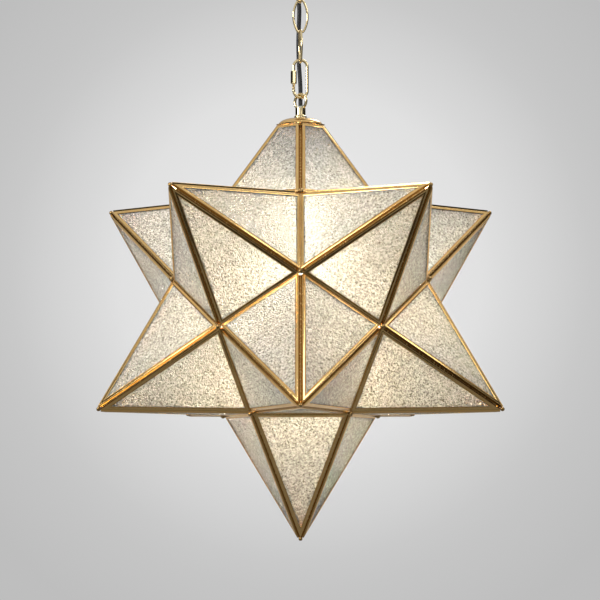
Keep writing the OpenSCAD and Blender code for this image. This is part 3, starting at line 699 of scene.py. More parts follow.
    def pane(self, point: Point, relief: Relief, shift: float) -> Shell:
        """One pane: a lattice of rows that narrow upwards, pressed on its outer face.

        Row j has one point fewer than the row below it. The outer face is lowered
        by dimples, fading out under the came; the back is one flat face.
        """
        corners = self.outline(point, np.array([self.came_web + self.glazing_gap]))[0]
        left, right, top_right, top_left = corners[0], corners[1], corners[2], corners[-1]
        share = 1 - (top_right[0] - top_left[0]) / (right[0] - left[0])
        kept = int(round(self.pane_rows * share))
        counts = self.pane_rows + 1 - np.arange(kept + 1)
        row = np.repeat(np.arange(kept + 1), counts)
        starts = np.cumsum(counts) - counts
        size = counts.sum()
        steps = np.maximum(np.repeat(counts - 1, counts), 1)
        place = ((np.arange(size) - np.repeat(starts, counts)) / steps)[:, None]
        up = (row / kept)[:, None]
        flat = (left + (top_left - left) * up) * (1 - place) \
            + (right + (top_right - right) * up) * place

        def numbers(lift: int, skip: int, fewer: int) -> Array:
            """Numbers of points along each row or the one above it, without some at its ends."""
            return np.concatenate([starts[j + lift] + skip + np.arange(counts[j] - fewer)
                                   for j in range(kept)])

        i, above = numbers(0, 0, 1), numbers(1, 0, 1)
        upright = np.stack([i, i + 1, above], -1)
        i, above = numbers(0, 1, 2), numbers(1, 0, 2)
        hanging = np.stack([i, above + 1, above], -1)
        edge_room = np.minimum(flat[:, 1] - left[1], np.minimum(
            self.line_distance(flat, right, top_right), self.line_distance(flat, left, top_left)))
        if point.cut is not None:
            edge_room = np.minimum(edge_room, top_left[1] - flat[:, 1])
        fade = np.clip((edge_room - 0.6 * MM) / (2.4 * MM), 0, 1)
        x, y = flat[:, 0] + shift, flat[:, 1] + 1.7 * shift
        press = 0.62 * relief.dimples(x, y, self.dimple) + 0.38 * relief.pebbles(x, y, self.pebble)
        face = -(self.came_thickness - self.glass_thickness) / 2
        outer = np.column_stack([flat, face - self.relief_depth * fade * (1 - press)])
        rim = np.concatenate([starts[0] + np.arange(counts[0]), (starts + counts - 1)[1:],
                              (starts[-1] + np.arange(counts[-1] - 1))[::-1], starts[1:-1][::-1]])
        back = np.column_stack([flat[rim], np.full(len(rim), face - self.glass_thickness)])
        below = size + np.arange(len(rim))
        wall = np.stack([rim, below, np.roll(below, -1), np.roll(rim, -1)], -1)
        return Shell(np.concatenate([outer, back]), [upright, hanging, wall, below[None, ::-1]])

    @staticmethod
    def line_distance(flat: Array, a: Array, b: Array) -> Array:
        """Distance of flat points from the line through a and b, by the cross product."""
        d = (b - a) / np.linalg.norm(b - a)
        return np.abs((flat[:, 0] - a[0]) * d[1] - (flat[:, 1] - a[1]) * d[0])

    def build(self) -> None:
        """Makes the frames and the panes of each point."""
        relief = Relief(11)
        for n, point in enumerate(self.points):
            came, places = self.came(point), [self.on_side(point, k) for k in range(SIDES)]
            frames = [came.placed(*place) for place in places]
            glass = [self.pane(point, relief, 0.061 * n + 0.013 * k).placed(*place)
                     for k, place in enumerate(places)]
            mount(f"{point.name}_came", joined(frames), Finish.CAME_BRASS,
                  point.body, f"{point.name}_frames")
            mount(f"{point.name}_glass", joined(glass), Finish.TEXTURED_GLASS,
                  point.body, f"{point.name}_panes")


@dataclass
class Solder:
    """Seams in the grooves of the star and beads at its corners."""

    star: Star
    ridge_r: float = 0.72 * MM
    valley_r: float = 0.62 * MM
    tip_r: float = 2.2 * MM
    step: float = 1.6 * MM

    def run(self, whole: Array, ends: Array, radius: float, seed: int) -> Shell:
        """A seam between ends turned by whole: a wire that swells and thins at random."""
        start, end = ends @ whole.T + STAR
        count = max(8, int(np.linalg.norm(end - start) / self.step))
        rng = np.random.default_rng(seed)
        t = np.linspace(0, 1, count)[:, None]
        knots = np.arange(0, count + 4, 3)
        swell = np.interp(np.arange(count), knots, rng.random(len(knots)))
        size = radius * (0.78 + 0.32 * swell)
        size[[0, -1]] *= 0.35
        hint = np.array([0.31, 0.87, 0.38] if abs((end - start)[0]) > 1e-6 else [1.0, 0, 0])
        return tube(start + (end - start) * t, size, 8, hint, False)

    def bead(self, whole: Array, place: tuple[float, float, float], radius: float,
             seed: int) -> Shell:
        """A bead at a place turned by whole: its radius waves by cos(2a + p) cos(3b + q)."""
        centre = whole @ np.array(place) + STAR
        rows, sides = 13, 20
        p, q = np.random.default_rng(seed).random(2) * 6.28
        b = np.linspace(-math.pi / 2 + 0.06, math.pi / 2 - 0.06, rows)[:, None]
        a = angles(sides)[None, :]
        r = radius * (1 + 0.07 * np.cos(2 * a + p) * np.cos(3 * b + q) * np.cos(b))
        points = around(r * np.cos(b), a, r * np.sin(b))
        return Shell(points.reshape(-1, 3) + centre, capped_grid(rows, sides))

    def ridge(self, point: Point, k: int, last: float, seed: int) -> Shell:
        """The seam at the root of ridge k's groove."""
        s = self.star
        whole = point.matrix() @ turn_z(point.phase + TURN * (k + 0.5))
        lean = math.atan2(s.base_r, point.height)
        root = s.came_thickness / math.cos(s.ridge_half(point.height)) - 0.45 * MM
        ends = np.array([[-root, 0, 1.2 * MM], [-root, 0, last]])
        ends = ends @ turn_y(-lean).T + np.array([s.base_r, 0, s.core])
        return self.run(whole, ends, self.ridge_r, seed)

    def point_seams(self, point: Point, seed: int) -> list[Shell]:
        """The five ridge seams of a point."""
        s = self.star
        ridge = math.hypot(point.height, s.base_r)
        if point.cut is None:
            last = ridge - s.cup(point.height) * ridge / s.slant(point.height) - s.came_thickness
        else:
            last = ridge * s.collar_height / s.top_full - s.came_thickness
        return [self.ridge(point, k, last, seed + k) for k in range(SIDES)]

    def valley(self, whole: Array, seed: int) -> Shell:
        """The seam behind one valley edge."""
        s = self.star
        middle = np.array([s.apothem, 0, s.core])
        inwards = unit(middle) * 0.75 * MM
        reach = s.edge / 2 - 1.5 * MM
        ends = middle - inwards + np.array([[0, -reach, 0], [0, reach, 0]])
        return self.run(whole, ends, self.valley_r, seed)

    def tip(self, point: Point, seed: int) -> Shell:
        """The bead in the cup of a point's tip."""
        s = self.star
        slope, low = math.atan2(point.height, s.apothem), s.cup(point.height)
        level = s.core + point.height - low * math.sin(slope) \
            + (self.tip_r + s.came_gap - low * math.cos(slope) ** 2) / math.sin(slope)
        return self.bead(point.matrix(), (0, 0, level), self.tip_r, seed)

    def corner(self, whole: Array, radius: float, seed: int) -> Shell:
        """The bead at a corner where valleys meet."""
        return self.bead(whole, (self.star.base_r, 0, self.star.core), radius, seed)

    @staticmethod
    def mount_browned(name: str, shells: list[Shell], amount: float, body: str, node: str) -> None:
        """Mounts the shells as one piece, with the same amount of brown all over."""
        mount(name, joined(shells).browned(amount), Finish.SOLDER, body, node)

    def build(self) -> None:
        """Makes the seams and the beads.

        No seam crosses the joint of the door, and a bead beside it is half as large.
        """
        s = self.star
        half = TURN / 2
        door = s.uppers[-1]
        fixed = [s.top, *s.uppers[:-1], *s.lowers, s.bottom]
        ridges = [seam for n, p in enumerate(fixed) for seam in self.point_seams(p, 10 * n)]
        self.mount_browned("ridge_seams", ridges, 0.35, "star", "ridge_solder")
        valleys = []
        for k in range(SIDES):
            if k != 2:  # the edge between the top point and the door
                valleys.append(self.valley(s.top.matrix() @ turn_z(half + TURN * k), 200 + k))
            valleys.append(self.valley(s.bottom.matrix() @ turn_z(half + TURN * k), 210 + k))
            valleys.append(self.valley(s.lowers[k].matrix() @ turn_z(TURN), 220 + k))
        for n, p in enumerate(s.uppers[:-1]):
            turns = [half, -half] + ([half + TURN] if p.azimuth != 108 else [])
            valleys += [self.valley(p.matrix() @ turn_z(t), 230 + 3 * n + m)
                        for m, t in enumerate(turns)]
        self.mount_browned("valley_seams", valleys, 0.5, "star", "valley_solder")
        big = s.set_back(s.point_height) + 0.35 * MM
        small = big / 2
        beads = [self.tip(p, 300 + n) for n, p in enumerate(fixed) if p.cut is None]
        for k in range(SIDES):
            turn = turn_z(math.radians(72 * k - 90))
            beads.append(self.corner(turn, small if k in (2, 3) else big, 320 + k))
            beads.append(self.corner(turn @ turn_y(math.pi), big, 330 + k))
        for n, p in enumerate(s.uppers):
            beads.append(self.corner(p.matrix(), small if p is door else big, 340 + n))
        for n, p in enumerate(s.lowers):
            foot = p.matrix() @ turn_z(math.pi)
            beads.append(self.corner(foot, small if abs(p.azimuth) == 144 else big, 350 + n))
        self.mount_browned("corner_blobs", beads, 0.7, "star", "corner_beads")
        mine = [*self.point_seams(door, 400), self.tip(door, 410)]
        self.mount_browned("door_seams", mine, 0.4, "door", "door_solder")


@dataclass
class Cap:
    """The plate and the spun dome that close the collar."""

    star: Star
    plate: float = 1.2 * MM
    dome_r: float = 22.8 * MM
    seat_r: float = 6.55 * MM
    dome_height: float = 6.8 * MM
    wall: float = 0.9 * MM
    hole_r: float = 4.1 * MM

    @property
    def base(self) -> float:
        """Height of the collar in the row frame."""
        return float(STAR[2]) + self.star.core + self.star.collar_height

    def build(self) -> None:
        """Makes the five-sided plate with soft corners and the dome, of elliptic section."""
        level = self.base
        sides = 100
        t = angles(sides)
        reach = self.star.collar_radius - self.star.came_gap
        sector = (t + TURN / 2) % TURN - TURN / 2
        inner = reach * math.cos(TURN / 2) / np.cos((t % TURN) - TURN / 2)
        corner = reach - 0.9 * MM * (1 - np.minimum(np.abs(sector) / 0.08, 1)) ** 2
        outline = np.minimum(inner, corner)
        section = rounded([(0, 0), (1, 0), (1, 1), (0, 1)], 0.22)
        r = self.hole_r + (outline - self.hole_r) * section[:, 0, None]
        points = around(r, t - math.pi / 2, level + self.plate * section[:, 1, None])
        plate = Shell(points.reshape(-1, 3), [grid_quads(len(section), sides, True, True)])
        mount("collar_plate", plate.browned(0), Finish.CAME_BRASS, "star", "cap_plate")
        b = np.linspace(0, math.pi / 2, 30)[:-2]
        run, h, w = self.dome_r - self.seat_r, self.dome_height, self.wall
        outer = np.stack([self.seat_r + run * np.sin(b), h * np.cos(b)], -1)
        foot = np.array([[self.dome_r, 0.35 * MM], [self.dome_r - 0.25 * MM, 0],
                         [self.dome_r - w, 0]])
        inside = np.stack([self.seat_r + (run - w) * np.sin(b), (h - w) * np.cos(b)], -1)[::-1]
        seat = np.array([[self.hole_r, h - w], [self.hole_r, h]])
        profile = np.concatenate([outer, foot, inside, seat])[::-1]
        dome = lathe(profile, 96, np.array([0, 0, level + self.plate]))
        mount("spun_dome", dome.browned(0), Finish.CAME_BRASS, "star", "cap_dome")


# ----------------------------------------------------------------- hanging


@dataclass
class Loop:
    """A hanging loop: flange, bored neck and cast ring."""

    ring_d: float = 18 * MM
    wire_d: float = 3 * MM
    neck_d: float = 10.6 * MM
    neck_height: float = 8.8 * MM
    flange_d: float = 13.1 * MM
    flange_height: float = 2.3 * MM
    ring_height: float = 15.5 * MM
    bore_r: float = 3.3 * MM
    socket_r: float = 4.05 * MM
    socket_depth: float = 6 * MM

    def shells(self) -> list[Shell]:
        """The neck, turned on its flange, and the ring that grows from its top, both upright."""
        neck, f, top = self.neck_d / 2, self.flange_height, self.flange_height + self.neck_height
        profile = rounded([
            (self.socket_r, 0), (self.flange_d / 2, 0), (self.flange_d / 2, f),
            (neck + 0.5 * MM, f + 0.15 * MM), (neck, f + 1.1 * MM), (neck, top),
            (self.bore_r, top), (self.bore_r, self.socket_depth),
            (self.socket_r, self.socket_depth)], 0.45 * MM)
        body = lathe(profile, 64, np.zeros(3))
        ring_r = (self.ring_d - self.wire_d) / 2
        centre = f + self.ring_height
        low = math.asin((neck - 1.2 * MM) / ring_r)
        t = np.linspace(-math.pi / 2 + low, 1.5 * math.pi - low, 80)
        path = np.stack([ring_r * np.cos(t), 0 * t, centre + ring_r * np.sin(t)], -1)
        flare = 1 + sum(0.10 * np.exp(-((t - end) / 0.16) ** 2) for end in (t[0], t[-1]))
        ring = tube(path, self.wire_d / 2 * flare, 24, ALONG_Y, False)
        return [body, ring]

    def build(self, name: str, body: str, node: str, matrix: Array, foot: Array) -> None:
        """Places one loop with its foot at a point."""
        shell = joined([s.placed(matrix, foot) for s in self.shells()])
        mount(name, shell, Finish.POLISHED_BRASS, body, node, 30)


@dataclass
class Grommet:
    """The soft sleeve that holds the cord in a loop's neck."""

    hole_r: float = 3.25 * MM
    top_r: float = 2.55 * MM
    head: float = 1.8 * MM
    stem: float = 3 * MM
    bore_r: float = 2.0 * MM
    seat: float = 11.1 * MM

    def build(self, name: str, body: str, node: str, matrix: Array, foot: Array) -> None:
        """Makes one tapered sleeve on the neck that stands on that foot."""
        profile = rounded([(self.bore_r, -self.stem), (self.hole_r, -self.stem),
                           (self.hole_r, 0.15 * MM), (self.top_r + 0.35 * MM, self.head * 0.6),
                           (self.top_r, self.head), (self.bore_r, self.head)], 0.35 * MM)
        shell = lathe(profile, 48, np.array([0, 0, self.seat])).placed(matrix, foot)
        mount(name, shell, Finish.GROMMET_PLASTIC, body, node)


@dataclass
class Chain:
    """Three welded links and the quick link."""

    length: float = 36 * MM
    width: float = 17 * MM
    wire: float = 2.3 * MM
    end_r: float = 4.3 * MM
    tops: tuple[float, float, float] = (-113.0 * MM, -81.65 * MM, -50.3 * MM)
    quick_top: float = -144.0 * MM
    quick_length: float = 42 * MM
    quick_width: float = 17.2 * MM
    quick_wire: float = 3 * MM
    quick_pitch: float = 0.72 * MM
    quick_thread: float = 0.24 * MM
    thread_from: float = -12.0 * MM
    gap_low: float = 2.6 * MM
    gap_high: float = 7.2 * MM
    sleeve_low: float = -5.6 * MM
    sleeve_length: float = 13.6 * MM
    turned: float = math.radians(10)
    sleeve_d: float = 5.6 * MM

    def link_line(self) -> Array:
        """The oval of a link in the XZ plane: wide side arcs that run into tight end arcs."""
        half, end = (self.width - self.wire) / 2, (self.length - self.wire) / 2 - self.end_r
        side_r = (half ** 2 + end ** 2 - self.end_r ** 2) / (2 * (half - self.end_r))
        meet = math.asin(end / (side_r - self.end_r))
        side = np.linspace(0, meet, 14)
        tight = np.linspace(meet, math.pi / 2, 15)[1:]
        x = np.concatenate([half - side_r + side_r * np.cos(side), self.end_r * np.cos(tight)])
        z = np.concatenate([side_r * np.sin(side), end + self.end_r * np.sin(tight)])
        quarter = np.stack([x, 0 * x, z], -1)
        upper = np.concatenate([quarter, (quarter * [-1, 1, 1])[-2:0:-1]])
        left = quarter[:1] * [-1, 1, 1]
        return np.concatenate([upper, left, (upper * [-1, 1, -1])[1:]])

    def link(self, number: int) -> Shell:
        """One link with the swelling of its weld halfway up one side."""
        path = self.link_line()
        side = [-(self.width - self.wire) / 2, 0, 0]
        weld = np.exp(-(np.linalg.norm(path - side, axis=1) / (1.3 * MM)) ** 2)
        shell = tube(path, self.wire / 2 * (1 + 0.09 * weld), 20, ALONG_Y, True)
        twist = turn_z(self.turned + (0 if number == 2 else math.pi / 2))
        middle = self.tops[number - 1] - (self.length - self.wire) / 2
        return shell.placed(twist, np.array([0, 0, middle]))

    def quick(self) -> Shell:
        """The quick link's wire: a racetrack open on its left leg, threaded under the nut.

        Its radius along the thread is r - depth / 2 (1 + cos(2 pi z / pitch - t)).
        """
        bend = (self.quick_width - self.quick_wire) / 2
        straight = (self.quick_length - self.quick_wire) / 2 - bend
        r, sides = self.quick_wire / 2, 20
        thread = np.arange(self.thread_from, self.gap_low - 0.3 * MM, 0.09 * MM)

        def leg(x: float, heights: Array) -> Array:
            """Upright points at x."""
            return np.stack([x + 0 * heights, 0 * heights, heights], -1)

        def half_turn(angle: Array, level: float) -> Array:
            """Points of a bend round the middle at that level."""
            return np.stack([bend * np.cos(angle), 0 * angle, level + bend * np.sin(angle)], -1)

        path = np.concatenate([
            [[-bend, 0, self.gap_low]],
            leg(-bend, thread)[::-1],
            half_turn(np.linspace(0, -math.pi, 40), -straight)[::-1],
            leg(bend, np.linspace(-straight, straight, 10)[1:-1]),
            half_turn(np.linspace(math.pi, 0, 40), straight)[::-1],
            leg(-bend, np.linspace(straight, self.gap_high + 0.4 * MM, 8)[1:]),
            [[-bend, 0, self.gap_high]]])
        threaded = np.zeros((len(path), 1))
        threaded[1:1 + len(thread)] = 1
        wave = 0.5 * (1 + np.cos(CIRCLE * path[:, 2, None] / self.quick_pitch - angles(sides)))
        radius = r - self.quick_thread * wave * threaded
        radius[0] = radius[-1] = r * 0.82
        shell = tube(path, radius, sides, ALONG_Y, False)
        return shell.placed(turn_z(self.turned), np.array([0, 0, self.quick_middle]))

    @property
    def quick_middle(self) -> float:
        """Height of the quick link's middle."""
        return self.quick_top - (self.quick_length - self.quick_wire) / 2

    def nut(self) -> Shell:
        """The sleeve nut: a hexagon whose ends are cut by cones and whose bore clears the thread.

        The radius is the lesser of apothem / cos(t) and a cone of 45 degrees at each end.
        """
        sides, half, h = 72, self.sleeve_d / 2, self.sleeve_length
        t = angles(sides)
        flat = np.minimum(half / np.cos((t % (math.pi / 3)) - math.pi / 6), half * 1.125)
        end = np.array([0, 0.12, 0.35, 0.7]) * MM
        z = np.concatenate([end, [h * 0.25, h * 0.5, h * 0.75], h - end[::-1]])
        cone = half * 0.90 + np.minimum(z, h - z)[:, None] * 1.1
        bore = np.full((2, sides), self.quick_wire / 2 + 0.05 * MM)
        radius = np.concatenate([np.minimum(flat, cone), bore])
        points = around(radius, t, np.concatenate([z, [h, 0]])[:, None])
        foot = np.array([-(self.quick_width - self.quick_wire) / 2, 0,
                         self.quick_middle + self.sleeve_low])
        shell = Shell(points.reshape(-1, 3) + foot, [grid_quads(len(radius), sides, True, True)])
        return shell.placed(turn_z(self.turned), np.zeros(3))

    def build(self) -> None:
        """Makes the links, the quick link and its nut."""
        for number in (1, 2, 3):
            node = f"chain_link_{number}"
            mount(f"oval_link_{number}", self.link(number), Finish.POLISHED_BRASS, node, node)
        mount("quick_link_wire", self.quick(), Finish.POLISHED_BRASS,
              "quick_link", "quick_link", 50)
        mount("sleeve_nut", self.nut(), Finish.POLISHED_BRASS,
              "quick_link_nut", "quick_link_nut", 25)


@dataclass
class PowerCord:
    """The black cord that runs behind the chain, in stretches.

    A stretch ends halfway down each link, so that each one crosses a single joint.
    """

    diameter: float = 4.4 * MM
    sides: int = 18
    cuts: tuple[float, ...] = (-68.3 * MM, -99.5 * MM, -130.8 * MM, -164.0 * MM)
    joints: tuple[float, ...] = (-53.0 * MM, -84.0 * MM, -115.35 * MM, -146.7 * MM, -183.0 * MM)
    reach: float = 8 * MM
    bodies: tuple[str, ...] = (
        "ceiling", "chain_link_3", "chain_link_2", "chain_link_1", "quick_link", "star")
    route_mm: tuple[tuple[float, float, float], ...] = (
        (0, 0, -192.1), (0, 0.3, -189.7), (0, 1.2, -187.5), (0, 2.7, -185.5), (0, 3.9, -184.5),
        (0, 5.1, -183.3), (0, 6.5, -181.1), (0, 7.3, -178.8), (0, 8.4, -173.5), (-0.3, 9.6, -165.5),
        (-0.9, 10.7, -156), (-1.6, 11.3, -146), (-2.0, 11.5, -136), (-2.2, 11.6, -124),
        (-1.9, 11.6, -112), (-1.4, 11.6, -100), (-1.2, 11.6, -89), (-1.9, 11.5, -80),
        (-2.8, 11.3, -73), (-3.6, 10.7, -66.7), (-4.1, 9.8, -60.7), (-4.2, 8.7, -56.4),
        (-3.7, 7.6, -53.2), (-3.1, 6.2, -50.9), (-2.4, 4.7, -49.2), (-1.4, 2.8, -47.3),
        (-0.6, 1.2, -45.2), (-0.1, 0.3, -42.9), (0, 0, -40.6))

    def build(self) -> None:
        line = smooth_line(np.array(self.route_mm[::-1]) * MM, 1.0 * MM)
        limits = [0, *(int(np.argmin(np.abs(line[:, 2] - c))) for c in self.cuts), len(line) - 1]
        for n, (first, last) in enumerate(zip(limits[:-1], limits[1:])):
            path = line[first:last + 1]
            radius = np.full(len(path), self.diameter / 2)
            shell = tube(path, radius, self.sides, ALONG_Y, False)
            piece = mesh_object(f"cord_stretch_{n + 1}", shell)
            dress(piece, Finish.CORD_BLACK)
            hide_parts("power_cord")
            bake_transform(piece)


@dataclass
class Ceiling:
    """The canopy on the ceiling, with the fixing inside it."""

    diameter: float = 120 * MM
    height: float = 27.7 * MM
    step_d: float = 84 * MM
    rim: float = 5 * MM
    wall: float = 0.9 * MM
    flange_d: float = 13.1 * MM
    hole_r: float = 4.1 * MM

    def build(self) -> None:
        """Spins the stepped canopy with soft edges."""
        r, step, boss = self.diameter / 2, self.step_d / 2, self.flange_d / 2 + 3 * MM
        h, w, z = self.height, self.wall, -self.height * 0.45
        outer = [(r, 0), (r, -self.rim), (r - 3 * MM, -self.rim - 1.5 * MM),
                 (step + 6 * MM, z + 1 * MM), (step + 2 * MM, z), (step, z - 1.5 * MM),
                 (step - 8 * MM, z - 6 * MM),
                 (boss + 14 * MM, -h + 3.2 * MM), (boss, -h), (self.hole_r, -h)]
        inner = [(self.hole_r, w - h), (boss, w - h), (boss + 14 * MM, w - h + 3.2 * MM),
                 (step - 8 * MM, z - 6 * MM + w), (step - w, z - 1.0 * MM),
                 (step + 1.4 * MM, z + w), (step + 6 * MM, z + 1 * MM + w),
                 (r - 3.2 * MM, -self.rim - 1.5 * MM + w),
                 (r - w, -self.rim + 0.3 * MM), (r - w, 0)]
        shell = lathe(rounded(outer + inner, 1.3 * MM, 5)[::-1], 120, np.zeros(3))
        mount("spun_canopy", shell.browned(0), Finish.CAME_BRASS, "ceiling", "canopy")


@dataclass
class Lamp:
    """The bulb and its holder under the cap."""

    middle: float = 57 * MM
    bulb_r: float = 30 * MM
    neck: float = 50 * MM
    base_r: float = 13.1 * MM
    base_length: float = 24 * MM
    holder_r: float = 19 * MM
    holder_length: float = 30 * MM
    thread_pitch: float = 3.62 * MM
    thread_depth: float = 0.9 * MM
    light_r: float = 34 * MM
    warm: Colour = (1.0, 0.83, 0.585)

    def build(self) -> None:
        """Makes the bulb, its rolled screw base and the glazed holder."""
        level = float(STAR[2]) + self.middle
        blend, neck_r = math.radians(38), self.base_r + 0.4 * MM
        b = np.linspace(-math.pi / 2 + 0.02, blend, 40)
        ball = np.stack([self.bulb_r * np.cos(b), self.bulb_r * np.sin(b)], -1)
        t = np.linspace(0, 1, 14)[1:, None]
        p0, p1 = ball[-1], ball[-1] + 13 * MM * np.array([-math.sin(blend), math.cos(blend)])
        p3 = np.array([neck_r, self.neck])
        p2 = p3 - np.array([0, 12 * MM])
        throat = (1 - t) ** 3 * p0 + 3 * t * (1 - t) ** 2 * p1 + 3 * t ** 2 * (1 - t) * p2 \
            + t ** 3 * p3
        rim = [[neck_r - 0.5 * MM, self.neck], [0.5 * MM, self.neck]]
        bulb = lathe(np.concatenate([ball, throat, rim]), 64, np.array([0, 0, level]), False)
        mount("frosted_bulb", bulb, Finish.LAMP_GLASS, "bulb", "bulb_glass")
        self.build_base(level + self.neck)
        self.build_holder(level + self.neck + self.base_length + 6 * MM)

    def build_base(self, level: float) -> None:
        """The screw base.

        Its radius along the thread is R - depth / 2 (1 + cos(2 pi z / pitch - t)).
        """
        sides, run = 64, self.base_length - 5 * MM
        t = angles(sides)
        z = np.linspace(0.4 * MM, run, 60)[:, None]
        wave = 0.5 * (1 + np.cos(CIRCLE * z / self.thread_pitch - t))
        ease = np.clip(np.minimum(z / (2 * MM), (run - z) / (2 * MM)), 0, 1)
        thread = self.base_r - self.thread_depth * wave * ease
        end = np.array([(12.6, 19.3), (11.0, 20.4), (6.4, 21.8), (5.2, 22.3), (5.0, 23.2),
                        (4.2, 23.9), (0.4, 24)]) * MM
        radius = np.concatenate([[[0.4 * MM] * sides, [self.base_r - 0.4 * MM] * sides], thread,
                                 np.repeat(end[:, :1], sides, 1)])
        height = np.concatenate([[[0], [0]], z, end[:, 1:]])
        base = Shell(around(radius, t, level + height).reshape(-1, 3),
                     capped_grid(len(radius), sides))
        mount("screw_base", base, Finish.LAMP_BASE, "bulb", "bulb_base")

    def build_holder(self, level: float) -> None:
        """The glazed cap and skirt, turned, with a moulded rib round the joint."""
        r, axis = self.holder_r, np.array([0, 0, level])
        cap = rounded([(5.05 * MM, 15 * MM), (5.05 * MM, 12 * MM), (6 * MM, 12 * MM),
                       (r - 4.6 * MM, 7.6 * MM), (r - 2 * MM, 3.4 * MM), (r - 2 * MM, 0), (r, 0),
                       (r, 4 * MM), (r - 3 * MM, 9 * MM), (7 * MM, 15 * MM)], 1.2 * MM)
        mount("glazed_cap", lathe(cap, 72, axis), Finish.PORCELAIN, "star", "holder_cap")
        low = -self.holder_length
        skirt = rounded([(r - 2.2 * MM, 0), (r - 2.2 * MM, low), (r - 1 * MM, low),
                         (r - 0.4 * MM, -12 * MM), (r, -11 * MM), (r, 0)], 0.8 * MM)
        holder = mount("glazed_skirt", lathe(skirt, 72, axis), Finish.PORCELAIN,
                       "star", "holder_skirt")
        self.build_light(holder)

    def build_light(self, holder: bpy.types.Object) -> None:
        """The lamp's light on the milky glass, from the bulb and from below it.

        It is a child of the holder, so it moves with the star.
        """
        for name, rise, power in (("lamp_light", self.middle, 13.5),
                                  ("lamp_spill", -12 * MM, 27.0)):
            data = bpy.data.lights.new(name, "POINT")
            data.shadow_soft_size, data.energy, data.color = self.light_r, power, self.warm
            lamp = linked(name, data)
            lamp.location = Vector(STAR) + Vector((0, 0, rise))
            lamp.visible_camera = lamp.visible_glossy = lamp.visible_transmission = False
            lamp.parent = holder


# ------------------------------------------------------------------ studio


